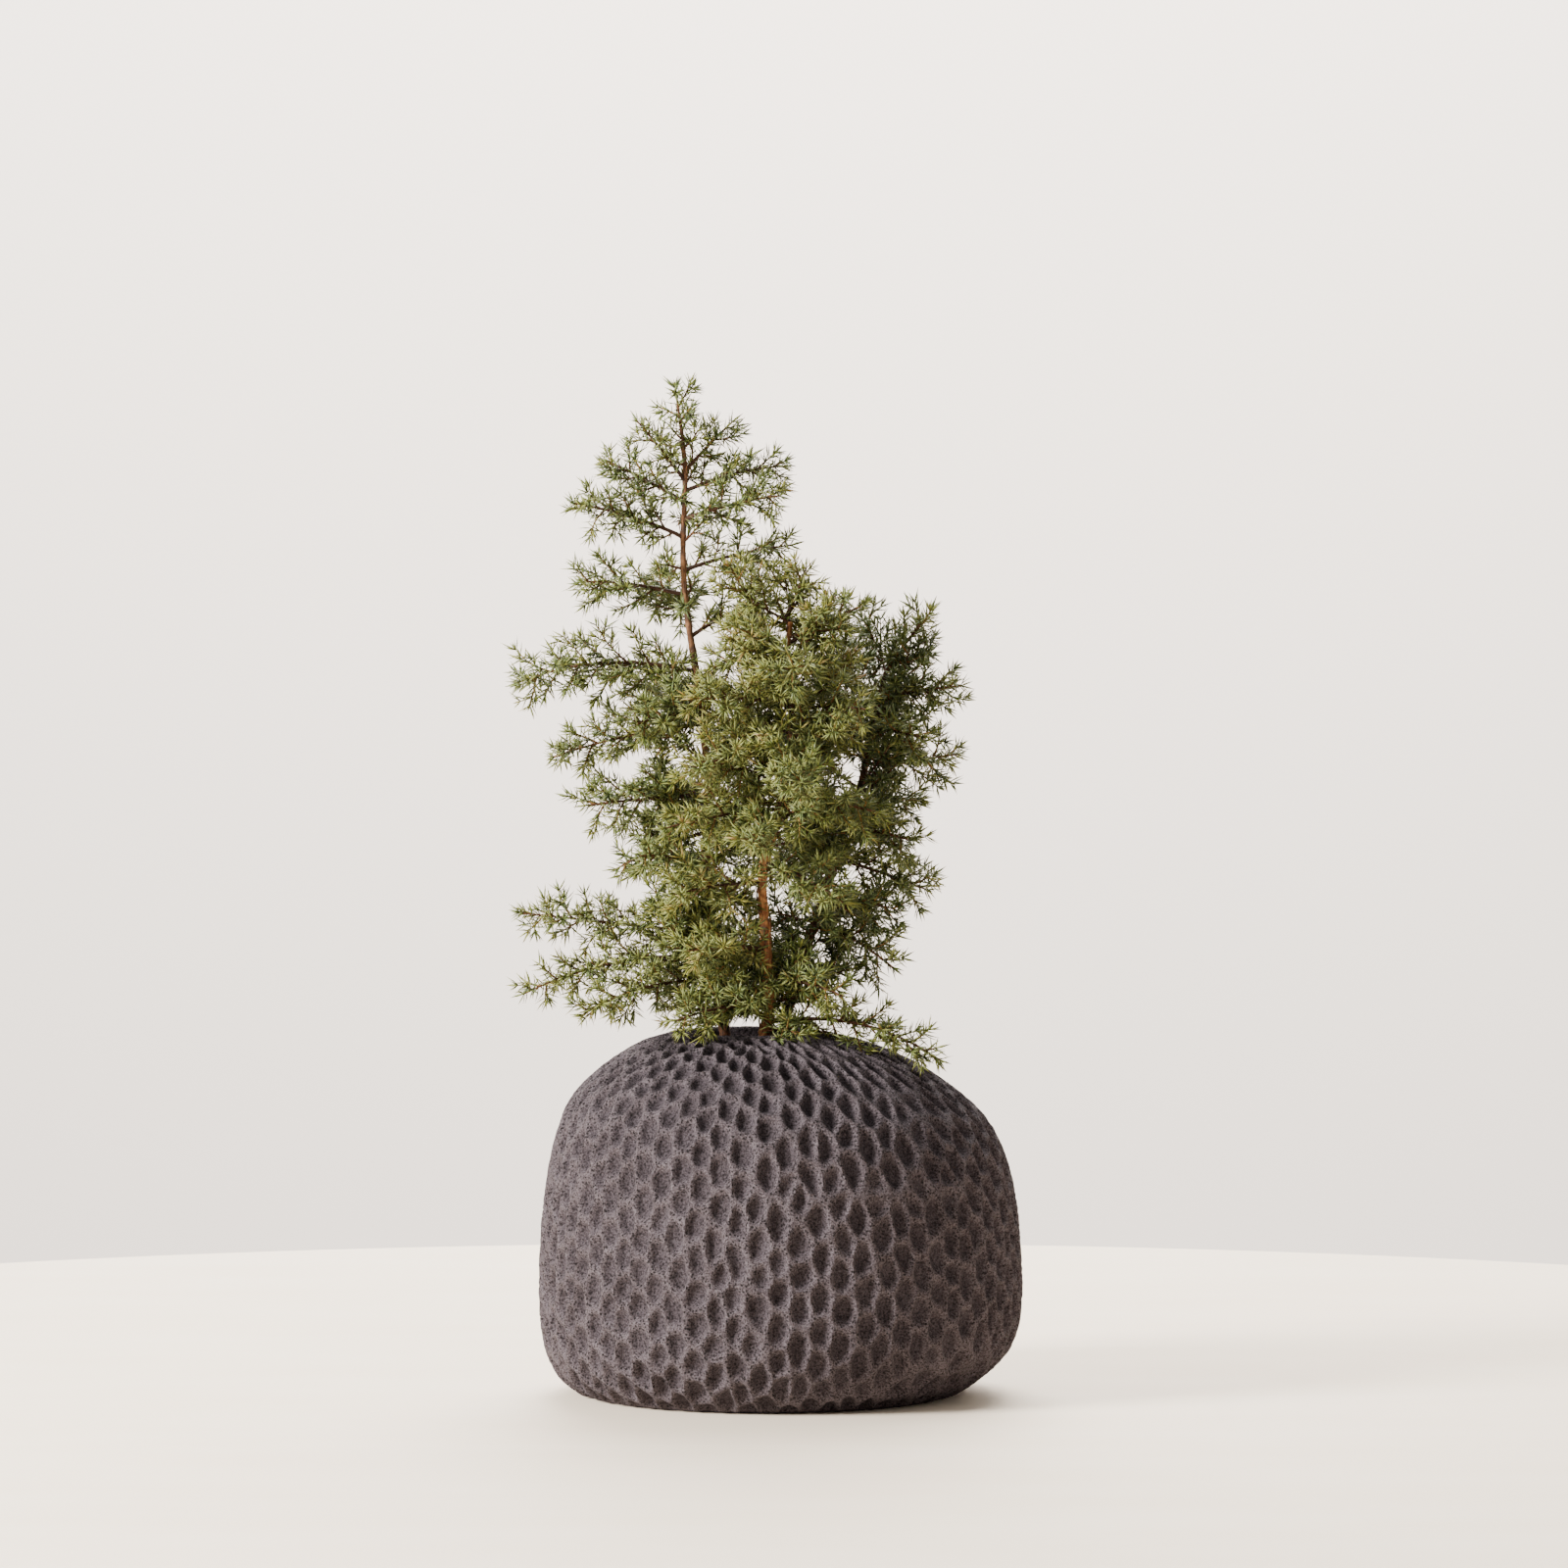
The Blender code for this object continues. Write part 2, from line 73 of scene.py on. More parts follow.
def linear(hex_colour: str) -> tuple[float, float, float, float]:
    """Turns an sRGB hex colour into a linear RGBA one.

    Args:
        hex_colour: the colour as "#rrggbb".

    Returns:
        Linear red, green and blue, and an alpha of 1.
    """
    parts = [int(hex_colour[i : i + 2], 16) / 255 for i in (1, 3, 5)]
    turned = [c / 12.92 if c <= 0.04045 else ((c + 0.055) / 1.055) ** 2.4 for c in parts]
    return (*turned, 1.0)


def add(
    tree: Tree, kind: str, values: dict | None = None, stops: list | None = None
) -> bpy.types.Node:
    """Adds a node with its settings and links.

    Args:
        tree: the node tree that the node goes in.
        kind: the node's type name, without its ShaderNode prefix.
        values: by socket name, socket number or property name, the value to set, or the
            socket or node that feeds the input.
        stops: (position, hex colour) pairs, for a colour ramp.

    Returns:
        The new node.
    """
    node = tree.nodes.new("ShaderNode" + kind)
    for name, value in (values or {}).items():
        source = value.outputs[0] if isinstance(value, bpy.types.Node) else value
        if isinstance(source, bpy.types.NodeSocket):
            tree.links.new(source, node.inputs[name])
        elif isinstance(name, int) or name in node.inputs:
            node.inputs[name].default_value = value
        else:
            setattr(node, name, value)
    if stops:
        elements = node.color_ramp.elements
        while len(elements) < len(stops):
            elements.new(1.0)
        for element, (place, colour) in zip(elements, stops):
            element.position = place
            element.color = linear(colour)
    return node


def new_material(name: str) -> tuple[Look, Tree]:
    """Makes an empty node material and returns it with its tree."""
    made = bpy.data.materials.new(name)
    made.use_nodes = True
    made.node_tree.nodes.clear()
    return made, made.node_tree


def shaded(
    tree: Tree,
    colour: bpy.types.Node,
    pattern: bpy.types.Node,
    share: float,
    stops: list,
) -> bpy.types.Node:
    """Darkens a colour by a pattern.

    Args:
        tree: the material's node tree.
        colour: the colour.
        pattern: the pattern, from 0 to 1.
        share: how much of the darkening is kept.
        stops: the ramp that turns the pattern to shades.

    Returns:
        The darkened colour.
    """
    shade = add(tree, "ValToRGB", {"Fac": pattern}, stops)
    values = {"blend_type": "MULTIPLY", "Fac": share, "Color1": colour, "Color2": shade}
    return add(tree, "MixRGB", values)


def surface(
    tree: Tree,
    values: dict,
    height: bpy.types.Node | None = None,
    relief: tuple[float, float] = (1.0, 0.1),
) -> None:
    """Adds the material's relief, its shader and its output.

    Args:
        tree: the material's node tree.
        values: the shader's settings and links.
        height: the pattern of the relief, if it has one.
        relief: how strong the relief is and how high, in millimetres.
    """
    if height:
        strength, high = relief
        bump = add(tree, "Bump", {"Strength": strength, "Distance": high * MM, "Height": height})
        values = {**values, "Normal": bump}
    add(tree, "OutputMaterial", {"Surface": add(tree, "BsdfPrincipled", values)})


def deselect() -> None:
    """Leaves nothing selected, in object mode."""
    if bpy.context.object and bpy.context.object.mode != "OBJECT":
        bpy.ops.object.mode_set(mode="OBJECT")
    bpy.ops.object.select_all(action="DESELECT")


def pick(piece: Piece) -> None:
    """Leaves one piece selected and active, in object mode."""
    deselect()
    piece.select_set(True)
    bpy.context.view_layer.objects.active = piece


def points_of(mesh: bpy.types.Mesh) -> Array:
    """The mesh's vertices as an array, in metres."""
    flat = np.empty(len(mesh.vertices) * 3)
    mesh.vertices.foreach_get("co", flat)
    return flat.reshape(-1, 3)


def settle(piece: Piece) -> Piece:
    """Puts a piece's place into its mesh, so that its object stands at the origin."""
    pick(piece)
    bpy.ops.object.transform_apply(location=True, rotation=True, scale=True)
    deselect()
    return piece


def coat(piece: Piece, look: Look) -> None:
    """Leaves a piece with one material."""
    piece.data.materials.clear()
    piece.data.materials.append(look)


def dress(piece: Piece, look: Look, nodes: list[str]) -> None:
    """Gives a new piece its material, its body and what it stands for.

    Args:
        piece: the finished piece.
        look: its material.
        nodes: the CAD nodes that it replaces.
    """
    coat(piece, look)
    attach(piece, ROOT)
    if nodes:
        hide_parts(*nodes)
    LOG.info("%s: %d faces", piece.name, len(piece.data.polygons))


def mesh_piece(name: str, verts: Array, faces: Array, loop_uv: Array | None = None) -> Piece:
    """Makes a smooth-shaded object from arrays.

    Args:
        name: the piece's name.
        verts: points in millimetres, one row each.
        faces: triangles or quads, one row of point numbers each.
        loop_uv: a place on the palette for every corner of every face.

    Returns:
        The new object, linked to the scene.
    """
    mesh = bpy.data.meshes.new(name)
    count, sides = faces.shape
    mesh.vertices.add(len(verts))
    mesh.vertices.foreach_set("co", (verts * MM).ravel())
    mesh.loops.add(count * sides)
    mesh.loops.foreach_set("vertex_index", faces.ravel())
    mesh.polygons.add(count)
    mesh.polygons.foreach_set("loop_start", np.arange(count) * sides)
    mesh.polygons.foreach_set("use_smooth", np.ones(count, bool))
    mesh.update(calc_edges=True)
    mesh.validate()
    if loop_uv is not None:
        layer = mesh.uv_layers.new(name=PALETTE)
        layer.data.foreach_set("uv", loop_uv.ravel())
    made = bpy.data.objects.new(name, mesh)
    bpy.context.scene.collection.objects.link(made)
    return made


def smooth_through(points: Array, steps: int) -> Array:
    """Points on a Catmull-Rom curve through the given ones.

    Args:
        points: the fixed points, one row each.
        steps: points made for each span.

    Returns:
        The denser row of points, ends included.
    """
    fixed = np.asarray(points, float)
    ends = np.vstack([2 * fixed[0] - fixed[1], fixed, 2 * fixed[-1] - fixed[-2]])
    made = []
    for a, b, c, d in zip(ends, ends[1:], ends[2:], ends[3:]):
        for t in np.arange(steps) / steps:
            bent = (2 * a - 5 * b + 4 * c - d) * t**2 + (3 * b - a - 3 * c + d) * t**3
            made.append(0.5 * (2 * b + (c - a) * t + bent))
    return np.array([*made, fixed[-1]])


def run_of(path: Array) -> Array:
    """How far along a path each of its points lies."""
    gaps = np.linalg.norm(np.diff(path, axis=0), axis=1)
    return np.concatenate([[0], np.cumsum(gaps)])


def read_at(places: Array | float, known: Array, rows: Array) -> Array:
    """Reads rows of three values between the places where they are known.

    Args:
        places: where to read, one place or several.
        known: the place of each row, rising.
        rows: three values for each known place.

    Returns:
        Three values for each place.
    """
    return np.stack([np.interp(places, known, rows[:, k]) for k in range(3)], axis=-1)


def even_steps(path: Array, step: float) -> Array:
    """Resamples a path to evenly spaced points about one step apart."""
    along = run_of(path)
    return read_at(np.linspace(0, along[-1], max(3, round(along[-1] / step) + 1)), along, path)


def unit(vectors: Array) -> Array:
    """Vectors scaled to length one, along the last axis."""
    return vectors / np.maximum(np.linalg.norm(vectors, axis=-1, keepdims=True), 1e-9)


def swing(ahead: Array, side: Array, angle: float) -> Array:
    """The direction ahead, swung to the side by an angle in radians."""
    return ahead * math.cos(angle) + side * math.sin(angle)


def square_to(ahead: Array) -> tuple[Array, Array]:
    """Two directions square to each direction ahead and to each other."""
    across = unit(np.cross(ahead, OFF_AXIS))
    return across, np.cross(ahead, across)


def step_of(line: Array, number: int) -> tuple[Array, Array]:
    """A point of a line, by its number, and the direction to the next one."""
    number = min(number, len(line) - 2)
    return line[number], unit(line[number + 1] - line[number])


# --------------------------------------------------------------- finishes

PALETTE = "OFBake"  # UV map of the needle and twig pieces: a place on their colour chart
CHART_COLUMNS = 48  # columns of the chart, each one needle's or twig's own tint


def read_chart(tree: Tree) -> tuple[bpy.types.Node, bpy.types.Node, bpy.types.NodeSocket]:
    """Reads a needle's or a twig's place on its colour chart.

    Args:
        tree: the material's node tree.

    Returns:
        The place from left to right counted in columns, the column's own number, and the
        height from 0 to 1.
    """
    parts = add(tree, "SeparateXYZ", {0: add(tree, "UVMap", {"uv_map": PALETTE})})
    counted = add(tree, "Math", {"operation": "MULTIPLY", 0: parts, 1: CHART_COLUMNS})
    return counted, add(tree, "Math", {"operation": "FLOOR", 0: counted}), parts.outputs["Y"]


@dataclass(frozen=True)
class UnglazedStoneware:
    """Dark iron-rich stoneware, gouged when leather hard and fired bare.

    The fired skin is dead matt. The ridges between the gouge marks are torn open and full of pores,
    and are a paler mauve grey. The marks are darker, partly from the clay that the tool smeared and
    partly from painted shade in the hollows. They are also smoother and finely combed from top to
    bottom.
    """

    ridge: str = "#645d61"
    # painted shade: the mark colour is darker than the ridge colour partly as shade painted into
    # the gouged hollows
    mark: str = "#484246"
    # painted shade: the near-black pore colour stands in for the shade inside each small hole
    pore_shade: str = "#1a1616"
    pore_mm: float = 1.9  # spacing of the larger pores
    grit_mm: float = 0.7  # real grit is finer: drawn at the size that still shows
    comb_mm: float = 1.1

    def material(self) -> Look:
        """Builds the clay body's material, which reads the pot's "depth" attribute to paint shade
        into the gouge marks.
        """
        made, tree = new_material("unglazed_stoneware")
        place = add(tree, "TexCoord").outputs["Object"]
        depth = add(tree, "Attribute", {"attribute_name": "depth"}).outputs["Fac"]
        mottle, grit, speckle = (
            add(
                tree,
                "TexNoise",
                {"Scale": 1 / (mm * MM), "Detail": detail, "Roughness": rough, "Vector": place},
            )
            for mm, detail, rough in (
                (18, 3.0, 0.6),
                (self.grit_mm, 3.0, 0.75),
                (1.3 * self.grit_mm, 2.0, 0.6),
            )
        )
        pores = add(tree, "TexVoronoi", {"Scale": 1 / (self.pore_mm * MM), "Vector": place})
        upright = add(tree, "Mapping", {"Scale": (1.0, 1.0, 0.12), "Vector": place})
        comb = add(
            tree, "TexNoise", {"Scale": 1 / (self.comb_mm * MM), "Detail": 2.0, "Vector": upright}
        )
        # The share of open, torn clay with the paler ridge colour: all of a ridge and a little of a
        # mark. Elsewhere the mark colour paints shade into the hollows.
        torn = add(tree, "MapRange", {"From Min": 0.8, "From Max": 0.15, "Value": depth})
        frayed = add(
            tree,
            "MapRange",
            {"From Min": 0.35, "From Max": 0.65, "To Min": -0.3, "To Max": 0.3, "Value": grit},
        )
        ragged_unshaded = add(tree, "Math", {"operation": "ADD", "use_clamp": True, 0: torn, 1: frayed})
        # painted shade: towards the deepest part of each gouge mark the colour moves to the darker
        # mark colour
        clay = add(
            tree,
            "MixRGB",
            {"Color1": linear(self.mark), "Color2": linear(self.ridge), "Fac": ragged_unshaded},
        )
        clay = shaded(tree, clay, mottle, 0.5, [(0.3, "#b5aca8"), (0.7, "#ffffff")])
        grains = [(0.36, "#8c8686"), (0.5, "#d8d2d4"), (0.66, "#ffffff")]
        clay = shaded(tree, clay, speckle, 1.0, grains)
        # A pore is the dark middle of a cell, painted shade for the small hole. Its size varies
        # with the grit, and the tool has closed half of it in a mark.
        hole = add(tree, "MapRange", {"From Min": 0.36, "From Max": 0.24, "Value": pores})
        gritty = add(
            tree, "MapRange", {"From Min": 0.4, "From Max": 0.52, "To Min": 0.1, "Value": grit}
        )
        left_open = add(tree, "MapRange", {"To Min": 0.55, "Value": ragged_unshaded})
        hole = add(tree, "Math", {"operation": "MULTIPLY", 0: hole, 1: gritty})
        hole = add(
            tree, "Math", {"operation": "MULTIPLY", "use_clamp": True, 0: hole, 1: left_open}
        )
        colour = add(tree, "MixRGB", {"Color1": clay, "Color2": linear(self.pore_shade), "Fac": hole})
        grit_relief = add(tree, "Math", {"operation": "MULTIPLY", 0: grit, 1: torn})
        relief = add(tree, "Math", {"operation": "SUBTRACT", 0: grit_relief, 1: hole})
        combed = add(tree, "Math", {"operation": "MULTIPLY_ADD", 0: comb, 1: 0.45, 2: relief})
        values = {"Roughness": 0.92, "IOR": 1.5, "Specular IOR Level": 0.16, "Base Color": colour}
        surface(tree, values, combed, (1.0, 0.7))
        return made


@dataclass(frozen=True)
class PottingSoil:
    """Damp peat and bark compost with pumice grit: near black, with paler grains."""

    peat: str = "#2a1d14"
    bark: str = "#4a3321"
    pumice: str = "#8a7d6a"
    grain_mm: float = 2.2

    def material(self) -> Look:
        """Builds the soil's material."""
        made, tree = new_material("peat_compost")
        place = add(tree, "TexCoord").outputs["Object"]
        grains = add(tree, "TexVoronoi", {"Scale": 1 / (self.grain_mm * MM), "Vector": place})
        fine = add(
            tree,
            "TexNoise",
            {"Scale": 1 / (0.8 * MM), "Detail": 4.0, "Roughness": 0.7, "Vector": place},
        )
        own = add(tree, "SeparateColor", {0: grains.outputs["Color"]})
        kinds = [(0.0, self.peat), (0.55, self.bark), (0.86, self.bark), (0.93, self.pumice)]
        tint = add(tree, "ValToRGB", {"Fac": own}, kinds)
        values = {"blend_type": "MULTIPLY", "Fac": 0.7, "Color1": tint, "Color2": fine}
        colour = add(tree, "MixRGB", values)
        values = {"Roughness": 0.92, "Specular IOR Level": 0.25, "Base Color": colour}
        surface(tree, values, fine, (0.9, 0.8))
        return made


@dataclass(frozen=True)
class MouldedPolypropylene:
    """Injection-moulded black polypropylene: dull satin with a faint mould texture."""

    colour: str = "#161616"
    lighter: str = "#262524"

    def material(self) -> Look:
        """Builds the plastic's material."""
        made, tree = new_material("black_polypropylene")
        place = add(tree, "TexCoord").outputs["Object"]
        cloud = add(tree, "TexNoise", {"Scale": 1 / (1.2 * MM), "Detail": 2.0, "Vector": place})
        colour = add(
            tree,
            "MixRGB",
            {"Color1": linear(self.colour), "Color2": linear(self.lighter), "Fac": cloud},
        )
        surface(tree, {"Roughness": 0.5, "IOR": 1.49, "Base Color": colour}, cloud, (0.2, 0.05))
        return made


@dataclass(frozen=True)
class JuniperBark:
    """Thin fibrous juniper bark that weathers grey-brown and peels to a fresh orange layer."""

    name: str
    fresh: str = "#b9834f"
    red: str = "#8f5a33"
    weathered: str = "#5c432d"
    fibre_mm: float = 0.9

    def material(self) -> Look:
        """Builds the bark's material, with its fibres running up the stem."""
        made, tree = new_material(self.name)
        place = add(tree, "TexCoord").outputs["Object"]
        upright = add(tree, "Mapping", {"Scale": (1.0, 1.0, 0.14), "Vector": place})
        scale = 1 / (self.fibre_mm * MM)
        fibres = add(
            tree,
            "TexNoise",
            {"Scale": scale, "Detail": 4.0, "Roughness": 0.65, "Vector": upright},
        )
        patches = add(
            tree,
            "TexNoise",
            {"Scale": 1 / (6 * MM), "Detail": 3.0, "Distortion": 0.6, "Vector": place},
        )
        layers = [(0.36, self.weathered), (0.48, self.red), (0.62, self.fresh)]
        worn = add(tree, "ValToRGB", {"Fac": patches}, layers)
        colour = shaded(tree, worn, fibres, 0.8, [(0.34, "#6b5a50"), (0.55, "#ffffff")])
        values = {"Roughness": 0.78, "Specular IOR Level": 0.35, "Base Color": colour}
        surface(tree, values, fibres, (0.9, 0.35))
        return made


@dataclass(frozen=True)
class TwigBark:
    """Bark of the thin twigs: brown and scaly when old, orange to green on new growth.

    The chart's columns are single twigs and its height is their age, old at the bottom.
    """

    old: str = "#3c281b"
    middle: str = "#664024"
    young: str = "#7e5f2a"
    tip: str = "#676a2c"

    def material(self) -> Look:
        """Builds the twigs' material, read from the chart."""
        made, tree = new_material("juniper_twig_bark")
        _, column, height = read_chart(tree)
        ages = [(0.05, self.old), (0.45, self.middle), (0.8, self.young), (1.0, self.tip)]
        age = add(tree, "ValToRGB", {"Fac": height}, ages)
        own = add(tree, "TexWhiteNoise", {"noise_dimensions": "1D", "W": column})
        colour = shaded(tree, age, own, 0.75, [(0.0, "#8a7f78"), (1.0, "#ffffff")])
        surface(tree, {"Roughness": 0.75, "Specular IOR Level": 0.35, "Base Color": colour})
        return made


@dataclass(frozen=True)
class JuniperNeedle:
    """Waxy juniper needles: green to olive blades with a paler blue-white band on top.

    The chart's columns are single needles, ordered from deep green through olive and fresh
    yellow green to sun-browned ones. Its height runs from a needle's base to its tip, and the
    width of a column runs across the needle's upper face.
    """

    tints: tuple[tuple[float, str], ...] = (
        (0.0, "#26310f"),
        (0.2, "#384617"),
        (0.4, "#4f5c21"),
        (0.58, "#656b29"),
        (0.75, "#7f8035"),
        (0.9, "#8b6a2d"),
        (1.0, "#6c411b"),
    )
    tip: str = "#9a8b40"
    band: str = "#7f8d6c"

    def material(self) -> Look:
        """Builds the needles' material, read from the chart."""
        made, tree = new_material("waxy_juniper_needles")
        counted, column, height = read_chart(tree)
        share = add(tree, "Math", {"operation": "DIVIDE", 0: column, 1: CHART_COLUMNS - 1})
        colour = add(tree, "ValToRGB", {"Fac": share}, list(self.tints))
        across = add(tree, "Math", {"operation": "FRACT", 0: counted})
        centred = add(tree, "Math", {"operation": "SUBTRACT", 0: across, 1: 0.5})
        off_middle = add(tree, "Math", {"operation": "ABSOLUTE", 0: centred})
        values = {"From Min": 0.3, "From Max": 0.18, "To Max": 0.28, "Value": off_middle}
        banded = add(tree, "MapRange", values)
        tipped = add(tree, "MapRange", {"From Min": 0.6, "To Max": 0.4, "Value": height})
        for part, tint in ((banded, self.band), (tipped, self.tip)):
            colour = add(tree, "MixRGB", {"Color1": colour, "Color2": linear(tint), "Fac": part})
        values = {"Roughness": 0.5, "Specular IOR Level": 0.4, "IOR": 1.45, "Base Color": colour}
        surface(tree, values)
        return made


@dataclass(frozen=True)
class PaleTable:
    """The stage's pale limestone-like surface."""

    light: str = "#fdf0dd"
    warm: str = "#f5e3cb"

    def material(self) -> Look:
        """Builds the floor's material."""
        made, tree = new_material("pale_table")
        place = add(tree, "TexCoord").outputs["Object"]
        stretch = add(tree, "Mapping", {"Scale": (1.0, 3.0, 1.0), "Vector": place})
        cloud = add(tree, "TexNoise", {"Scale": 5.0, "Detail": 3.0, "Vector": stretch})
        values = {"Color1": linear(self.warm), "Color2": linear(self.light), "Fac": cloud}
        colour = add(tree, "MixRGB", values)
        surface(tree, {"Roughness": 0.6, "Specular IOR Level": 0.25, "Base Color": colour})
        return made


@dataclass(frozen=True)
class PlainWall:
    """The stage's off-white backdrop."""

    colour: str = "#f9eee3"

    def material(self) -> Look:
        """Builds the backdrop's material."""
        made, tree = new_material("off_white_backdrop")
        surface(tree, {"Base Color": linear(self.colour), "Roughness": 0.95})
        return made


# --------------------------------------------------------------------- pot


@dataclass(frozen=True)
class Ring:
    """A level section of the pot in millimetres: height, half-width and centre."""

    height: float
    half_width: float
    centre_x: float


@dataclass
class CarvedPot:
    """The hollow pot with its carved outside, rim, inner wall, foot ring and drain hole."""

    outline: tuple[Ring, ...] = (
        Ring(0.0, 92.0, 0.0), Ring(2.5, 99.5, 0.5), Ring(10.0, 109.5, 1.8),
        Ring(20.0, 117.2, 4.4), Ring(34.0, 122.3, 6.3), Ring(53.0, 123.8, 6.8),
        Ring(78.0, 123.0, 6.6), Ring(103.0, 120.5, 6.4), Ring(125.0, 115.6, 5.4),
        Ring(141.0, 109.0, 3.2), Ring(152.0, 101.0, 0.6), Ring(161.0, 91.2, -1.4),
        Ring(168.0, 81.8, -2.9), Ring(175.0, 69.6, -4.9), Ring(181.0, 55.5, -7.4),
        Ring(185.0, 40.0, -9.2), Ring(186.0, 32.3, -9.75),
    )
    depth_ratio: float = 0.97
    around: int = 78
    bands: int = 17
    refinements: int = 3  # each halves the spacing of the points
    wall: float = 8.0
    mouth_radius: float = 29.3
    mouth_x: float = -9.75
    drain_radius: float = 8.0
    floor_top: float = 12.0
    mark_width: float = 10.9
    mark_height: float = 18.2
    mark_depth: float = 3.9
    ridge_round: float = 0.2  # roundness of the ridges, over half a mark
    bowl_from: float = 1.25  # how far from a ridge a mark is at its deepest, over half a mark
    bowl_power: float = 1.9
    oval: float = 1.16  # where the rounded end of a mark is, over half a mark
    oval_power: int = 5
    tried_within: float = 30.0  # a mark farther from a point can't reach it
    bare_foot: float = 4.5
    bare_rim: float = 2.5
    seed: int = 11
    finish: UnglazedStoneware = field(default_factory=UnglazedStoneware)

    def build(self) -> None:
        """Models the pot and dresses it."""
        pot = self.outside()
        self.carve(pot)
        self.close(pot)
        dress(pot, self.finish.material(), ["pot"])

    def outside(self) -> Piece:
        """Draws a circle up the outline and refines it to a smooth skin.

        Returns:
            The pot's outside, open at the foot and at the mouth.
        """
        deselect()
        rings = self.even_rings()
        first = rings[0]
        bpy.ops.mesh.primitive_circle_add(
            vertices=self.around,
            radius=first.half_width * MM,
            fill_type="NOTHING",
            location=(first.centre_x * MM, 0, 0),
        )
        pot = bpy.context.object
        pot.name = "carved_pot"
        pick(settle(pot))
        bpy.ops.object.mode_set(mode="EDIT")
        bpy.ops.mesh.select_all(action="SELECT")
        bpy.ops.transform.resize(value=(1, self.depth_ratio, 1))
        for below, ring in zip(rings, rings[1:]):
            move = Vector((ring.centre_x - below.centre_x, 0, ring.height - below.height))
            bpy.ops.mesh.extrude_region_move(TRANSFORM_OT_translate={"value": move * MM})
            grow = ring.half_width / below.half_width
            bpy.ops.transform.resize(value=(grow, grow, 1))
        bpy.ops.object.mode_set(mode="OBJECT")
        refine = pot.modifiers.new("refine", "SUBSURF")
        refine.levels = refine.render_levels = self.refinements
        bpy.ops.object.modifier_apply(modifier=refine.name)
        bpy.ops.object.shade_smooth()
        return pot

    def profile(self) -> tuple[Array, Array]:
        """The outline in even steps.

        Returns:
            Rows of height, half-width and centre, and the length from the foot to each row.
        """
        rows = [(r.height, r.half_width, r.centre_x) for r in self.outline]
        path = smooth_through(np.array(rows), 10)
        gaps = np.hypot(np.diff(path[:, 0]), np.diff(path[:, 1]))
        return path, np.concatenate([[0], np.cumsum(gaps)])

    def even_rings(self) -> list[Ring]:
        """The outline as rings in even steps from the foot to the mouth."""
        path, along = self.profile()
        places = np.linspace(0, along[-1], self.bands + 1)
        return [Ring(*map(float, row)) for row in read_at(places, along, path)]

    def marks(self) -> list[tuple[Array, ...]]:
        """Places the gouge marks in upright columns, each staggered to the next.

        Returns:
            For each mark its middle, its directions across and along, its half-width, its
            half-height and its depth, in millimetres.
        """
        random = np.random.default_rng(self.seed)
        path, along = self.profile()
        made = []
        place = self.bare_foot
        while place < along[-1] - self.bare_rim:
            here = read_at(place, along, path)
            height, width, centre = here
            up_slope, out_slope, _ = read_at(place + 1, along, path) - here
            # Marks get smaller where the shoulder closes in on the mouth.
            closing = min(1.0, max(0.0, (width - 32) / 78))
            size = 0.62 + 0.38 * closing**0.8
            # A fixed step in the number keeps the columns upright over most of the body.
            count = 6 * round(2 * math.pi * width / (self.mark_width * size) / 6)
            for i in range(count):
                turn = 2 * math.pi * (i + random.normal(0, 0.1)) / count
                slip = (0.5 * (i % 2) + random.normal(0, 0.1)) * self.mark_height * size
                out = np.array([math.cos(turn), self.depth_ratio * math.sin(turn), 0.0])
                middle = np.array([centre, 0.0, height]) + width * out
                along_axis = unit(out * out_slope + np.array([0, 0, up_slope]))
                across_axis = np.array([-math.sin(turn), math.cos(turn), 0.0])
                lean = random.normal(0, 0.09)
                turned = swing(along_axis, across_axis, lean)
                beside = across_axis * math.cos(lean) - along_axis * math.sin(lean)
                # The right shoulder was cut in long narrow flutes.
                flute = max(0.0, math.cos(turn + 0.35)) * (1 - closing) * 0.9
                half_width = 0.5 * self.mark_width * size * (1 - 0.16 * flute)
                half_height = 0.5 * self.mark_height * size * (1 + 0.9 * flute)
                made.append(
                    (
                        middle + turned * slip,
                        beside,
                        turned,
                        half_width * random.uniform(0.93, 1.1),
                        half_height * random.uniform(0.88, 1.14),
                        self.mark_depth * (0.72 + 0.28 * size) * random.uniform(0.86, 1.12),
                    )
                )
            place += self.mark_height * size
        return made

    def on_outline(self, points: Array) -> Array:
        """Moves points straight out or in, on to the pot's outline at their height."""
        path, _ = self.profile()
        _, width, centre = read_at(points[:, 2], path[:, 0], path).T
        aside = points[:, 0] - centre
        scale = width / np.hypot(aside, points[:, 1] / self.depth_ratio)
        return np.stack([centre + aside * scale, points[:, 1] * scale, points[:, 2]], axis=1)

    def carve(self, pot: Piece) -> None:
        """Presses the gouge marks into the skin and stores how deep each point lies."""
        points = self.on_outline(points_of(pot.data) / MM)
        pot.data.vertices.foreach_set("co", (points * MM).ravel())
        pot.data.update()
        normals = np.empty(len(points) * 3)
        pot.data.vertices.foreach_get("normal", normals)
        normals = normals.reshape(-1, 3)
        normals *= math.copysign(1.0, (normals[:, :2] * points[:, :2]).sum())  # outwards
        marks = self.marks()
        middles = np.array([m[0] for m in marks])
        beside = np.array([m[1] for m in marks])
        along = np.array([m[2] for m in marks])
        half_width, half_height, deep = (np.array([m[k] for m in marks]) for k in (3, 4, 5))
        depth, share = np.zeros(len(points)), np.zeros(len(points))
        for start in range(0, len(points), 3000):
            some = points[start : start + 3000, None, :] - middles[None]
            u = np.einsum("ijk,jk->ij", some, beside) / half_width
            v = np.einsum("ijk,jk->ij", some, along) / half_height
            away = np.einsum("ijk,ijk->ij", some, some)
            far = np.sqrt(u * u + v * v + np.where(away < self.tried_within**2, 0.0, 1e4))
            nearest = far.argmin(axis=1)
            two = np.partition(far, 1, axis=1)
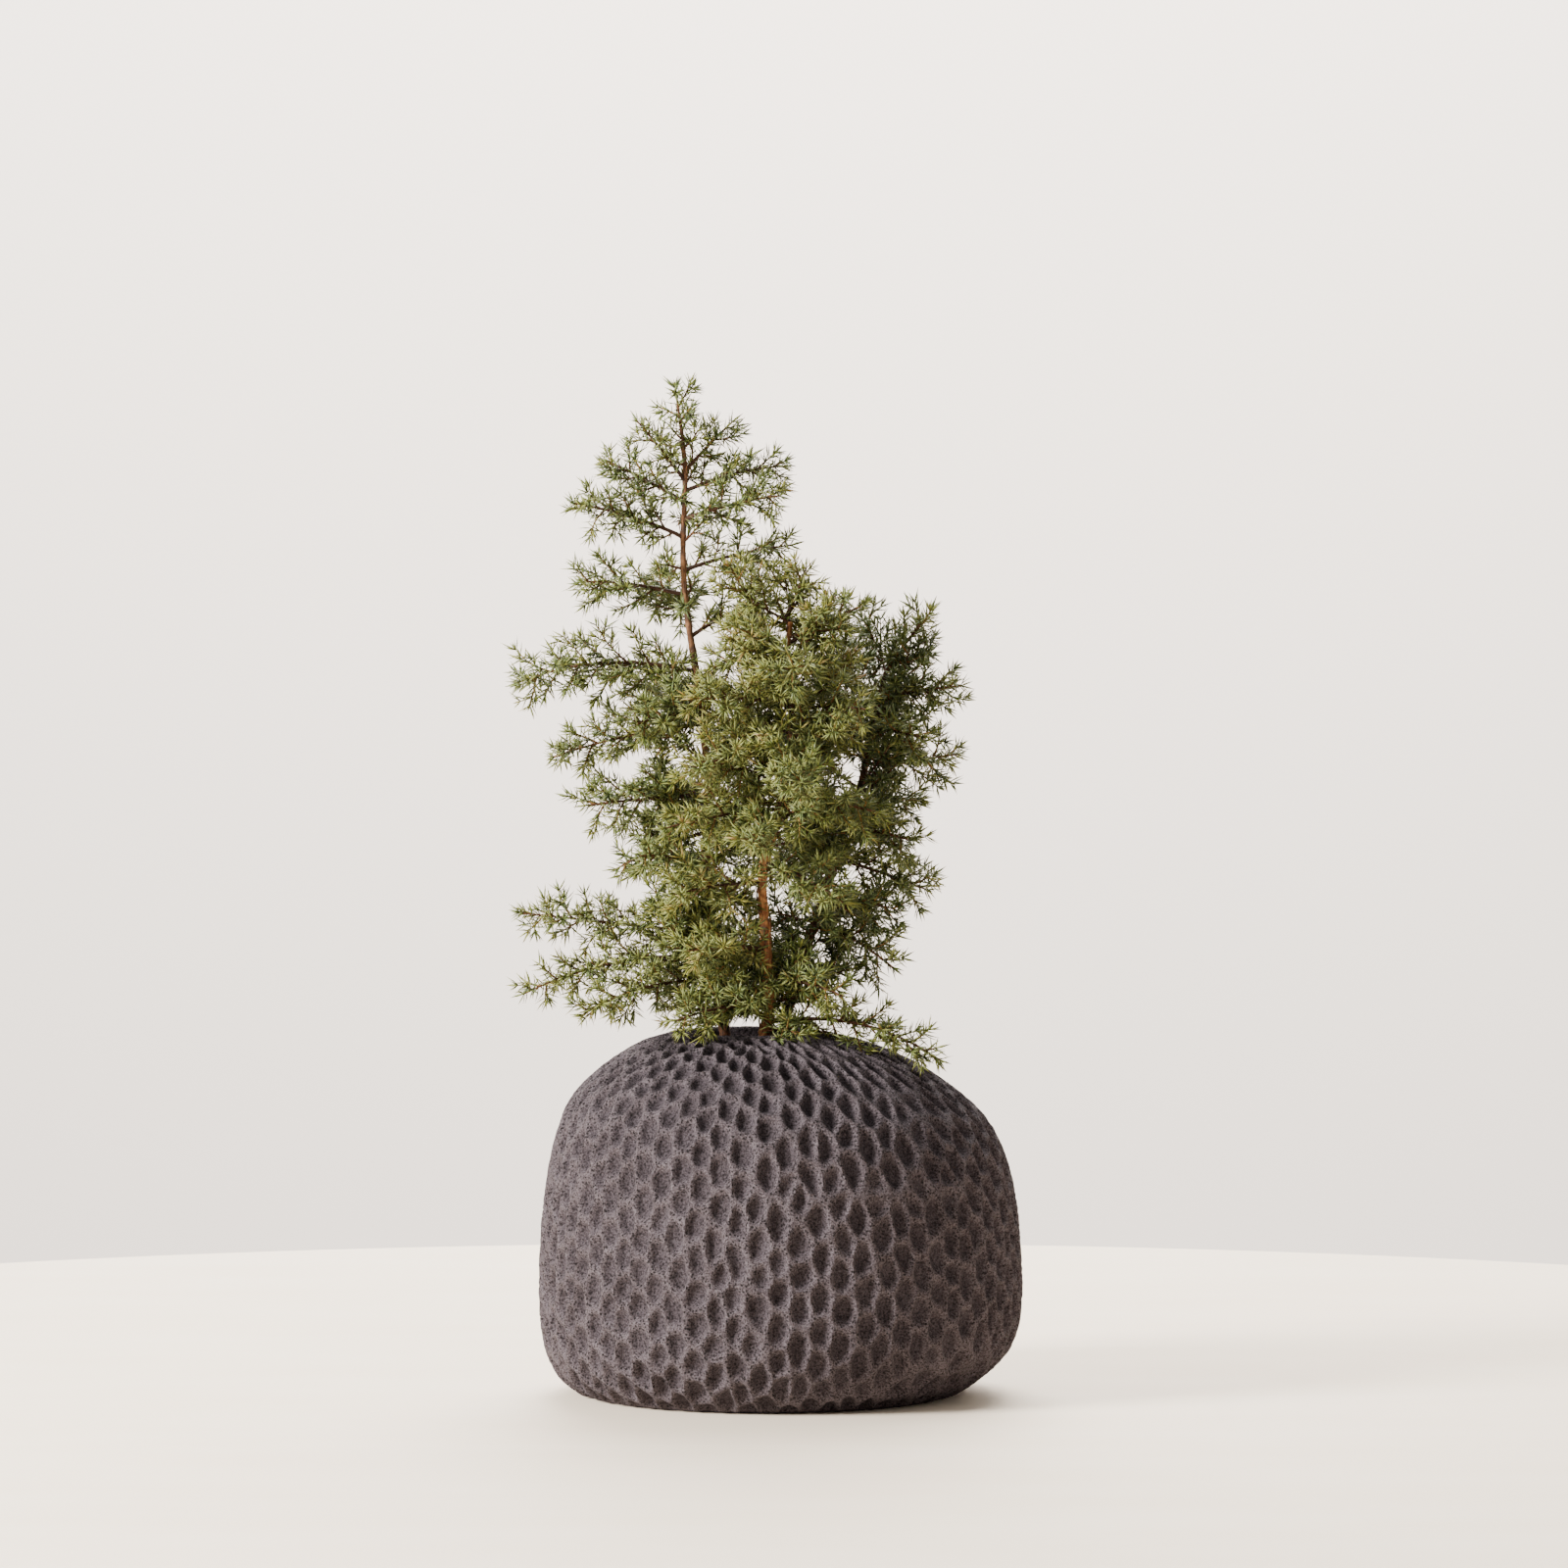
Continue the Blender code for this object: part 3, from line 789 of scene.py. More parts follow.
            # Two marks meet in a narrow rounded ridge, as high as the surface was.
            edge = np.hypot(two[:, 1] - two[:, 0], self.ridge_round) - self.ridge_round
            bowl = 1 - (1 - np.clip(edge / self.bowl_from, 0, 1)) ** self.bowl_power
            bowl *= 1 - np.clip(two[:, 0] / self.oval, 0, 1) ** self.oval_power
            share[start : start + 3000] = bowl
            depth[start : start + 3000] = bowl * deep[nearest]
        path, lengths = self.profile()
        ground = np.interp(points[:, 2], path[:, 0], lengths)
        near_rim = np.hypot(points[:, 0] - self.mouth_x, points[:, 1]) - 32.3
        fade = np.clip((ground - self.bare_foot + 2.0) / 4.0, 0, 1)
        fade *= np.clip((near_rim - self.bare_rim + 2.0) / 5.0, 0, 1)
        depth *= fade
        wobble = np.array([noise.noise(Vector(p / 9.0)) for p in points])
        rough = np.array([noise.noise(Vector(p / 3.2)) for p in points])
        inward = depth - 0.2 * fade + 0.25 * wobble + 0.26 * rough
        pot.data.vertices.foreach_set("co", ((points - normals * inward[:, None]) * MM).ravel())
        stored = pot.data.attributes.new("depth", "FLOAT", "POINT")
        stored.data.foreach_set("value", share * fade)
        pot.data.update()

    def close(self, pot: Piece) -> None:
        """Adds the rim, the inner wall, the floor, the foot ring and the drain hole."""
        pick(pot)
        inner = [
            Ring(outer.height - drop, outer.half_width - step, outer.centre_x)
            for outer, drop, step in (
                (self.outline[15], 8.0, 0.5),
                (self.outline[14], 7.8, 2.2),
                (self.outline[12], 6.2, 5.0),
                (self.outline[10], 4.2, 6.8),
                (self.outline[8], 1.6, 7.8),
                (self.outline[5], 0.0, self.wall),
                (self.outline[3], -1.0, self.wall),
            )
        ]
        rim = self.outline[-1]
        mouth = [
            Ring(rim.height - 0.1, self.mouth_radius + 1.6, self.mouth_x),
            Ring(rim.height - 0.8, self.mouth_radius + 0.5, self.mouth_x),
            Ring(rim.height - 2.4, self.mouth_radius, self.mouth_x),
            Ring(rim.height - 7.0, self.mouth_radius, self.mouth_x),
        ]
        floor = [
            Ring(self.floor_top, 88.0, 0.5),
            Ring(self.floor_top, self.drain_radius, 0.0),
            Ring(2.6, self.drain_radius, 0.0),
        ]
        foot = [Ring(0.0, 64.0, 0.0), Ring(2.5, 61.5, 0.0), Ring(2.5, self.drain_radius, 0.0)]
        self.draw_loop(pot, rim, [*mouth, *inner, *floor])
        self.draw_loop(pot, self.outline[0], foot)
        bpy.ops.object.mode_set(mode="EDIT")
        bpy.ops.mesh.select_all(action="DESELECT")
        bpy.ops.mesh.select_non_manifold()
        bpy.ops.mesh.bridge_edge_loops()
        bpy.ops.mesh.select_all(action="SELECT")
        bpy.ops.mesh.normals_make_consistent(inside=False)
        bpy.ops.object.mode_set(mode="OBJECT")
        bpy.ops.object.shade_smooth_by_angle(angle=math.radians(50))
        deselect()

    def draw_loop(self, pot: Piece, edge: Ring, rings: list[Ring]) -> None:
        """Extrudes the open edge that lies on a ring through more rings.

        Args:
            pot: the piece, active and selected.
            edge: the ring that the open edge lies on.
            rings: the rings that the new wall runs through, in order.
        """
        for element in (*pot.data.vertices, *pot.data.edges, *pot.data.polygons):
            element.select = False
        bpy.ops.object.mode_set(mode="EDIT")
        bpy.ops.mesh.select_mode(type="EDGE")
        bpy.ops.mesh.select_non_manifold()
        bpy.ops.object.mode_set(mode="OBJECT")
        points = points_of(pot.data) / MM
        for line in pot.data.edges:
            if line.select and abs(points[line.vertices[0]][2] - edge.height) > 3.0:
                line.select = False
        chosen = {i for line in pot.data.edges if line.select for i in line.vertices}
        for vertex in pot.data.vertices:
            vertex.select = vertex.index in chosen
        start = points[sorted(chosen)]
        here = start.mean(axis=0)
        width = np.ptp(start[:, 0]) / 2
        bpy.ops.object.mode_set(mode="EDIT")
        for ring in rings:
            move = Vector((ring.centre_x - here[0], 0, ring.height - here[2]))
            bpy.ops.mesh.extrude_region_move(TRANSFORM_OT_translate={"value": move * MM})
            grow = ring.half_width / width
            bpy.ops.transform.resize(value=(grow, grow, 1))
            here, width = np.array([ring.centre_x, 0, ring.height]), ring.half_width
        bpy.ops.object.mode_set(mode="OBJECT")


# -------------------------------------------------------------------- soil


@dataclass
class SoilBed:
    """The compost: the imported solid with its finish, and loose crumbs on its top."""

    crumbs: int = 900
    crumb_mm: tuple[float, float] = (0.9, 2.6)
    reach: float = 42.0
    centre_x: float = -9.75
    seed: int = 5
    finish: PottingSoil = field(default_factory=PottingSoil)

    def build(self) -> None:
        """Dresses the packed soil and scatters the crumbs on it."""
        look = self.finish.material()
        coat(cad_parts["potting_soil"], look)
        template = self.crumb()
        verts = points_of(template.data) / MM
        faces = np.array([tuple(face.vertices) for face in template.data.polygons])
        bpy.data.objects.remove(template)
        random = np.random.default_rng(self.seed)
        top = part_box("potting_soil")[1].z / MM
        all_verts, all_faces = [], []
        for i in range(self.crumbs):
            turn, out = random.uniform(0, 2 * math.pi), self.reach * math.sqrt(random.random())
            size = random.uniform(*self.crumb_mm)
            squash = random.uniform(0.6, 1.2, 3)
            drop = 0.02 * max(0.0, out - 20)
            x, y = self.centre_x + out * math.cos(turn), out * math.sin(turn)
            lumps = verts * (1 + random.uniform(-0.18, 0.18, (len(verts), 1)))
            all_verts.append(lumps * squash * size + (x, y, top - drop + 0.2 * size))
            all_faces.append(faces + i * len(verts))
        bed = mesh_piece("soil_crumbs", np.vstack(all_verts), np.vstack(all_faces))
        dress(bed, look, [])

    def crumb(self) -> Piece:
        """One rounded crumb of unit radius, in millimetres, to be copied."""
        deselect()
        bpy.ops.mesh.primitive_ico_sphere_add(subdivisions=1, radius=0.5 * MM)
        return bpy.context.object


@dataclass
class DrainageMesh:
    """The plastic mesh over the drain hole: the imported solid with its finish."""

    finish: MouldedPolypropylene = field(default_factory=MouldedPolypropylene)

    def build(self) -> None:
        """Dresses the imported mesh."""
        coat(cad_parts["drainage_mesh"], self.finish.material())
        LOG.info("drainage_mesh dressed")


# ------------------------------------------------------------------- stems


@dataclass
class WoodyStem:
    """One stem: its line, its thickness, its bark and the strips that peel from it."""

    name: str
    base_radius: float
    tip_radius: float
    points: tuple[Point, ...]
    finish: JuniperBark
    strips: int
    buried: float = 24.0
    sides: int = 4  # bevel resolution: 12 sides

    def line(self) -> Array:
        """The stem's axis above the soil, in even steps of a millimetre."""
        return even_steps(smooth_through(np.array(self.points), 8), 1.0)

    def radius(self, height: Array) -> Array:
        """The stem's radius at these heights, with a slight flare at the soil."""
        bottom, top = self.points[0][2], self.points[-1][2]
        share = np.clip((height - bottom) / (top - bottom), 0, 1)
        plain = self.base_radius + (self.tip_radius - self.base_radius) * share
        return plain * (1 + 0.25 * np.exp(-np.maximum(height - bottom, 0) / 6.0))

    def build(self) -> None:
        """Models the stem and its peeling strips, and dresses them."""
        stem = self.trunk()
        self.roughen(stem)
        look = self.finish.material()
        dress(stem, look, [self.name])
        peel = self.peelings()
        dress(peel, look, [])

    def trunk(self) -> Piece:
        """Sweeps a tapering round section up the stem's line.

        Returns:
            A closed tube, as a mesh.
        """
        deselect()
        x, y, z = self.points[0]
        path = np.vstack([[x, y, z - self.buried], self.line()])
        curve = bpy.data.curves.new(self.name, "CURVE")
        curve.dimensions = "3D"
        curve.bevel_depth = MM
        curve.bevel_resolution = self.sides
        curve.use_fill_caps = True
        spline = curve.splines.new("POLY")
        spline.points.add(len(path) - 1)
        for point, place, radius in zip(spline.points, path, self.radius(path[:, 2])):
            point.co = (*(place * MM), 1.0)
            point.radius = radius
        stem = bpy.data.objects.new(f"{self.name}_bark", curve)
        bpy.context.scene.collection.objects.link(stem)
        pick(stem)
        bpy.ops.object.convert(target="MESH")
        stem = bpy.context.object
        bpy.ops.object.shade_smooth()
        deselect()
        return stem

    def roughen(self, stem: Piece) -> None:
        """Gives the trunk fibrous ribs, shallow plates and small knots."""
        points = points_of(stem.data) / MM
        line = self.line()
        out = points - read_at(points[:, 2], line[:, 2], line)
        out[:, 2] = 0
        out = unit(out)
        ribs = [noise.noise(Vector((p[0] * 0.9, p[1] * 0.9, p[2] * 0.07))) for p in points]
        plates = [noise.noise(Vector(p * 0.3) + Vector((7, 3, 1))) for p in points]
        size = self.radius(points[:, 2])
        lift = size * (0.22 * np.array(ribs) + 0.2 * np.array(plates))
        stem.data.vertices.foreach_set("co", ((points + out * lift[:, None]) * MM).ravel())
        stem.data.update()

    def peelings(self) -> Piece:
        """Thin strips of bark that stand off the stem at one end.

        Returns:
            All the strips as one piece.
        """
        random = np.random.default_rng(sum(map(ord, self.name)))
        line = self.line()
        verts, faces = [], []
        stations = 5
        for i in range(self.strips):
            start = random.uniform(self.points[0][2] + 14, self.points[-1][2] * 0.92)
            length = random.uniform(5, 13)
            half = random.uniform(0.35, 0.9)
            turn = random.uniform(0, 2 * math.pi)
            lift = random.uniform(0.5, 1.8)
            for k in range(stations):
                share = k / (stations - 1)
                z = start + length * share
                centre = read_at(z, line[:, 2], line)
                radius = float(self.radius(np.array([z]))[0]) * 1.04
                out = np.array([math.cos(turn), math.sin(turn), 0.0])
                beside = np.array([-math.sin(turn), math.cos(turn), 0.0])
                width = half * (1 - 0.75 * share**2)
                off = radius + lift * share**2
                for side, thick in ((-1, 0.0), (1, 0.0), (1, 0.22), (-1, 0.22)):
                    verts.append(centre + out * (off + thick) + beside * side * width)
            base = i * stations * 4
            for k in range(stations - 1):
                low, high = base + 4 * k, base + 4 * k + 4
                for a in range(4):
                    b = (a + 1) % 4
                    faces.append((low + a, low + b, high + b, high + a))
            end = base + 4 * (stations - 1)
            faces.append((base + 3, base + 2, base + 1, base))
            faces.append((end, end + 1, end + 2, end + 3))
        return mesh_piece(f"{self.name}_peeling_bark", np.array(verts), np.array(faces))


# ----------------------------------------------------------------- foliage


class Tint(Enum):
    """Where on the colour chart a spray's needles mostly lie: middle and spread. SHADED is darker
    green, partly the needles' own colour and partly painted shade. SUNLIT is yellower, partly the
    needles' own colour and partly painted light.
    """

    # painted shade and painted light: SHADED darkens the sprays on the shaded right side and SUNLIT
    # lightens those on the lit front left, on top of the needles' own colour
    SHADED = (0.3, 0.13)
    GREEN = (0.42, 0.15)
    OLIVE = (0.48, 0.14)
    SUNLIT = (0.57, 0.13)


@dataclass
class Twig:
    """One twig: its line in millimetres, its thickness, its age and where needles start."""

    line: Array
    radius: float
    age: float  # 0 is old wood and 1 is this year's growth
    leafy_from: float = 0.0


@dataclass
class NeedleBlade:
    """One needle: a three-sided blade with a flat upper face and a keel, and a sharp tip."""

    length: float = 8.3
    half_width: float = 0.6
    keel: float = 0.5
    widest: float = 0.42  # where it is widest, as a share of its length
    root_width: float = 0.55  # its width at the root, as a share of the widest
    curve: float = 0.4  # how far the tip bends up

    def template(self) -> Blade:
        """Models the blade, flat side towards -Y and tip towards +Z.

        Returns:
            Its points, its triangles and the chart place of each corner of each triangle:
            across the flat face and along the needle.
        """
        deselect()
        bpy.ops.mesh.primitive_cone_add(
            vertices=3,
            radius1=self.half_width * MM,
            radius2=0,
            depth=self.length * MM,
            location=(0, 0, self.length * MM / 2),
        )
        blade = settle(bpy.context.object)
        pick(blade)
        bpy.ops.object.mode_set(mode="EDIT")
        bpy.ops.mesh.select_all(action="SELECT")
        bpy.ops.mesh.bisect(plane_co=(0, 0, self.widest * self.length * MM), plane_no=(0, 0, 1))
        bpy.ops.mesh.select_all(action="SELECT")
        bpy.ops.mesh.quads_convert_to_tris()
        bpy.ops.object.mode_set(mode="OBJECT")
        points = points_of(blade.data) / MM
        along = points[:, 2] / self.length
        shape = np.interp(along, [0, self.widest, 1], [self.root_width, 1.0, 0])
        turn = np.arctan2(points[:, 1], points[:, 0])
        flat_x = np.cos(turn) / math.cos(math.radians(30)) * self.half_width
        flat_y = np.where(np.sin(turn) > 0.5, self.keel, 0.0)
        points[:, 0] = flat_x * shape * (np.sin(turn) < 0.5)
        points[:, 1] = flat_y * shape - self.curve * along**2
        faces = np.array([tuple(face.vertices) for face in blade.data.polygons])
        across = np.clip(0.5 + 0.5 * points[:, 0] / self.half_width / np.maximum(shape, 1e-3), 0, 1)
        keeled = np.array([any(flat_y[i] * shape[i] > 0 for i in face) for face in faces])
        corner_across = np.where(keeled[:, None], 0.04, across[faces])
        corner_uv = np.stack([corner_across, along[faces]], axis=2)
        bpy.data.objects.remove(blade)
        return points, faces, corner_uv


@dataclass
class Spray:
    """One spray of foliage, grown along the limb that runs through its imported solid."""

    node: str
    tint: Tint
    twig_spacing: float = 4.0
    twiglet_spacing: float = 5.0
    seed: int = 0

    def limb(self, stems: dict[str, WoodyStem]) -> Array:
        """Finds the limb's line: the middle of the solid, run back to the nearest stem.

        Args:
            stems: the stems by name.

        Returns:
            Points from the stem's axis to the spray's tip.
        """
        points = points_of(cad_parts[self.node].data) / MM
        middle = points.mean(axis=0)
        axis = np.linalg.svd(points - middle, full_matrices=False)[2][0]
        lines = np.vstack([stem.line() for stem in stems.values()])
        reach = (points - middle) @ axis
        ends = [middle + axis * reach.min(), middle + axis * reach.max()]
        gaps = [np.linalg.norm(lines - end, axis=1).min() for end in ends]
        if gaps[1] < gaps[0]:
            axis, reach = -axis, -reach
        share = (reach - reach.min()) / np.ptp(reach)
        fit = [np.polyfit(share, points[:, k], 2) for k in range(3)]
        # The needles reach past the limb's end.
        places = np.linspace(0, 1.0 - 3.0 / np.ptp(reach), 24)
        spine = np.stack([np.polyval(f, places) for f in fit], axis=1)
        back = unit(spine[0] - spine[1])
        tries = spine[0] + back * np.arange(0, 14, 0.5)[:, None]
        gaps = np.linalg.norm(lines[None] - tries[:, None], axis=2)
        joint = lines[np.unravel_index(gaps.argmin(), gaps.shape)[1]]
        limb = smooth_through(np.vstack([joint, spine[::4], spine[-1]]), 6)
        return even_steps(limb, TWIG_STEP)

    def half_width(self) -> float:
        """How far the spray reaches sideways, in millimetres."""
        points = points_of(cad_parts[self.node].data) / MM
        points = points - points.mean(axis=0)
        return np.ptp(points @ np.linalg.svd(points, full_matrices=False)[2][1]) / 2

    def grow(self, stems: dict[str, WoodyStem]) -> list[Twig]:
        """Grows the limb, its side twigs and their twiglets.

        Args:
            stems: the stems by name.

        Returns:
            Every twig of the spray.
        """
        random = np.random.default_rng(self.seed)
        limb = self.limb(stems)
        if "leader" in self.node:
            radius, leafy_from, start = 1.2, 0.05, 2.5
        else:
            radius, leafy_from, start = 1.15, 0.3, max(7.0, 0.1 * TWIG_STEP * (len(limb) - 1))
        reach = 1.5 * self.half_width()
        side_twigs = self.clothe(limb, reach, start, random)
        return [Twig(limb, radius, 0.12, leafy_from), *side_twigs]

    def clothe(self, limb: Array, reach: float, start: float, random: Random) -> list[Twig]:
        """Sets side twigs along a limb, turned from one to the next like a spiral.

        Args:
            limb: the limb's line, in steps of a millimetre and a half.
            reach: the length of the longest side twigs.
            start: how far from the limb's root they start.
            random: the spray's own random numbers.

        Returns:
            Every side twig and twiglet.
        """
        twigs = []
        length = TWIG_STEP * (len(limb) - 1)
        at = start
        turn = random.uniform(0, 2 * math.pi)
        while at < length - 2.5:
            share = at / length
            root, ahead = step_of(limb, int(at / TWIG_STEP))
            # The longest twigs stand past the middle, and they get short towards the tip.
            here = reach * min(1.0, 0.62 + 1.3 * share) * min(1.0, 0.45 + 1.5 * (1 - share))
            here *= random.uniform(0.7, 1.15)
            twigs += self.side_twig(root, ahead, turn, here, share, random)
            turn += SPIRAL_TURN + random.normal(0, 0.35)
            at += self.twig_spacing * random.uniform(0.75, 1.25)
        return twigs

    def side_twig(
        self,
        root: Array,
        ahead: Array,
        turn: float,
        reach: float,
        share: float,
        random: Random,
    ) -> list[Twig]:
        """Grows one side twig and its twiglets.

        Args:
            root: where it leaves the limb.
            ahead: the limb's direction there.
            turn: its direction round the limb, in radians.
            reach: its length in millimetres.
            share: how far along the limb it stands.
            random: the spray's own random numbers.

        Returns:
            The side twig, then its twiglets.
        """
        beside = unit(np.cross(ahead, [0.0, 0.0, 1.0]) + 1e-6)
        over = np.cross(beside, ahead)
        # Twigs spread wider to the sides than up and down.
        out = unit(beside * math.cos(turn) + over * (0.85 * math.sin(turn)))
        course = swing(ahead, out, math.radians(random.uniform(42, 62)))
        line = self.bent_line(root, course, reach, random)
        age = 0.42 + 0.3 * share
        made = [Twig(line, 0.62, age, 0.12)]
        spot = random.uniform(4.5, 7.0)
        side = random.choice([-1.0, 1.0])
        while spot < reach - 3.0:
            joint, onward = step_of(line, int(spot / TWIG_STEP))
            flank = unit(np.cross(onward, over) * side + over * random.normal(0, 0.45))
            course = swing(onward, flank, math.radians(random.uniform(38, 58)))
            size = random.uniform(5.0, 9.5) * (1.1 - 0.45 * spot / reach)
            small = self.bent_line(joint, course, size, random)
            made.append(Twig(small, 0.42, min(1.0, age + 0.3), 0.1))
            side = -side
            spot += self.twiglet_spacing * random.uniform(0.7, 1.2)
        return made

    def bent_line(self, root: Array, course: Array, reach: float, random: Random) -> Array:
        """A twig's line, which turns up to the light or sags, with small kinks.

        Args:
            root: where it starts.
            course: its direction at the start.
            reach: its length.
            random: the spray's own random numbers.

        Returns:
            Points a millimetre and a half apart.
        """
        rise = np.array([0, 0, random.uniform(-0.02, 0.055)])
        line = [root]
        for _ in range(max(2, round(reach / TWIG_STEP))):
            course = unit(course + rise + random.normal(0, 0.05, 3))
            line.append(line[-1] + course * TWIG_STEP)
        return np.array(line)


@dataclass
class InnerGrowth:
    """Short limbs that stand on a stem between its long ones, and fill the crown."""

    stem: str
    low: float
    high: float
    spacing: float
    reach: tuple[float, float]
    tint: Tint
    seed: int

    def grow(self, stems: dict[str, WoodyStem]) -> list[Twig]:
        """Grows the twigs of this stretch of stem.

        Args:
            stems: the stems by name.

        Returns:
            Every twig of the stretch.
        """
        random = np.random.default_rng(self.seed)
        line = stems[self.stem].line()
        helper = Spray(self.stem, self.tint)
        twigs = []
        height = self.low
        turn = random.uniform(0, 6)
        while height < self.high:
            root, ahead = step_of(line, int(np.abs(line[:, 2] - height).argmin()))
            reach = random.uniform(*self.reach)
            side = unit(np.array([math.cos(turn), math.sin(turn), 0.0]))
            course = swing(ahead, side, math.radians(random.uniform(50, 80)))
            limb = helper.bent_line(root, course, reach, random)
            twigs.append(Twig(limb, 0.8, 0.3, 0.4))
            twigs += helper.clothe(limb, 0.42 * reach, 0.25 * reach, random)
            turn += SPIRAL_TURN + random.normal(0, 0.4)
            height += self.spacing * random.uniform(0.7, 1.3)
        return twigs


@dataclass
class FoliageTier:
    """Several sprays that are made as one piece of twigs and one of needles."""

    name: str
    sprays: list[Spray]
    inner: list[InnerGrowth]
    whorl_spacing: float = 3.3
    whorl: int = 3  # needles in a whorl
    end_whorl: int = 5  # needles round a twig's end
    old_angle: float = 70.0  # degrees between an old needle and its twig
    young_closer: float = 26.0  # degrees less for the youngest needles
    seed: int = 3

    def build(
        self,
        stems: dict[str, WoodyStem],
        blade: Blade,
        needle_look: Look,
        twig_look: Look,
    ) -> None:
        """Grows the tier and makes its two pieces.

        Args:
            stems: the stems by name.
            blade: the needle to copy.
            needle_look: the needles' material.
            twig_look: the twigs' material.
        """
        random = np.random.default_rng(self.seed)
        grown = [(twig, s.tint) for s in self.sprays for twig in s.grow(stems)]
        grown += [(twig, s.tint) for s in self.inner for twig in s.grow(stems)]
        twigs = self.twig_piece([twig for twig, _ in grown], random)
        dress(twigs, twig_look, [])
        needles = self.needle_piece(grown, blade, random)
        dress(needles, needle_look, [s.node for s in self.sprays])

    def twig_piece(self, twigs: list[Twig], random: Random) -> Piece:
        """Makes all the twigs as tapering closed tubes.

        Args:
            twigs: the twigs.
            random: the tier's own random numbers.

        Returns:
            One piece.
        """
        verts, faces, places = [], [], []
        start = 0
        for twig in twigs:
            sides = 7 if twig.radius > 1 else 5 if twig.radius > 0.5 else 4
            line = twig.line if twig.radius > 1 else twig.line[:: 2 if len(twig.line) > 4 else 1]
            if not np.allclose(line[-1], twig.line[-1]):
                line = np.vstack([line, twig.line[-1]])
            rows = len(line)
            ahead = unit(np.gradient(line, axis=0))
            across, over = square_to(ahead)
            share = np.linspace(0, 1, rows)
            radius = twig.radius * (1 - 0.62 * share)
            turns = 2 * math.pi * np.arange(sides) / sides
            ring = (
                across[:, None] * np.cos(turns)[None, :, None]
                + over[:, None] * np.sin(turns)[None, :, None]
            )
            tube = line[:, None] + ring * radius[:, None, None]
            verts += [tube.reshape(-1, 3), line[:1], line[-1:]]
            low = start + np.arange(rows - 1)[:, None] * sides
            k = np.arange(sides)[None]
            j = (k + 1) % sides
            a, b, c, d = low + k, low + j, low + sides + j, low + sides + k
            walls = np.stack([a, b, c, a, c, d], axis=2).reshape(-1, 3)
            first, last = start + rows * sides, start + rows * sides + 1
            top = start + (rows - 1) * sides
            k, j = k[0], j[0]
            cap_low = np.stack([np.full(sides, first), start + j, start + k], axis=1)
            cap_top = np.stack([np.full(sides, last), top + k, top + j], axis=1)
            faces += [walls, cap_low, cap_top]
            age = twig.age + (min(1.0, twig.age + 0.35) - twig.age) * share
            column = (random.integers(CHART_COLUMNS) + 0.5) / CHART_COLUMNS
            ages = np.concatenate([np.repeat(age, sides), [age[0], age[-1]]])
            places.append(np.stack([np.full(len(ages), column), ages * 0.96 + 0.02], axis=1))
            start += rows * sides + 2
        all_faces = np.vstack(faces)
        uv = np.vstack(places)[all_faces.ravel()]
        return mesh_piece(f"{self.name}_twigs", np.vstack(verts), all_faces, uv)

    def needle_piece(self, grown: list[tuple[Twig, Tint]], blade: Blade, random: Random) -> Piece:
        """Sets needles in whorls of three on every twig.

        Args:
            grown: the twigs with the tint of their spray.
            blade: the needle to copy.
            random: the tier's own random numbers.

        Returns:
            One piece.
        """
        roots, courses, uppers, sizes, columns = [], [], [], [], []
        for twig, tint in grown:
            line = twig.line
            along = run_of(line)
            first = max(1.0, twig.leafy_from * along[-1])
            places = np.arange(first, along[-1], self.whorl_spacing)
            places = np.append(places, along[-1] - 0.2)
            middle, spread = tint.value
            own = random.normal(middle, 0.07)
            for w, place in enumerate(places):
                centre = read_at(place, along, line)
                k = min(int(np.searchsorted(along, place)), len(line) - 1)
                ahead = unit(line[k] - line[k - 1])
                across, over = square_to(ahead)
                # Young needles at a twig's end still point ahead; older ones spread.
                young = math.exp(-(along[-1] - place) / 5.0)
                count = self.end_whorl if w == len(places) - 1 else self.whorl
                for i in range(count):
                    turn = 2 * math.pi * i / count + (math.pi / 3) * (w % 2)
                    turn += random.normal(0, 0.16)
                    lean = self.old_angle - self.young_closer * young + random.normal(0, 10)
                    lean = math.radians(lean)
                    side = swing(across, over, turn)
                    roots.append(centre)
                    courses.append(swing(ahead, side, lean))
                    uppers.append(ahead * math.sin(lean) - side * math.cos(lean))
                    sizes.append(random.uniform(0.78, 1.12) * (1 - 0.25 * young * random.random()))
                    columns.append(own + random.normal(0, spread) * 0.6 + 0.1 * young)
        root, course, upper = (np.array(v) for v in (roots, courses, uppers))
        side = np.cross(course, upper)
        size = np.array(sizes)[:, None, None]
        points, faces, corner_uv = blade
        verts = root[:, None] + size * (
            points[None, :, 0:1] * side[:, None]
            - points[None, :, 1:2] * upper[:, None]
            + points[None, :, 2:3] * course[:, None]
        )
        count = len(root)
        all_faces = faces[None] + (np.arange(count) * len(points))[:, None, None]
        column = np.clip(np.array(columns), 0, 0.999) * CHART_COLUMNS
        uv = np.broadcast_to(corner_uv[None], (count, *corner_uv.shape)).copy()
        uv[..., 0] = (np.floor(column)[:, None, None] + 0.08 + 0.84 * uv[..., 0]) / CHART_COLUMNS
        uv[..., 1] = 0.02 + 0.96 * uv[..., 1]
        return mesh_piece(
            f"{self.name}_needles",
            verts.reshape(-1, 3),
            all_faces.reshape(-1, 3),
            uv.reshape(-1, 2),
        )


# ------------------------------------------------------------------ studio


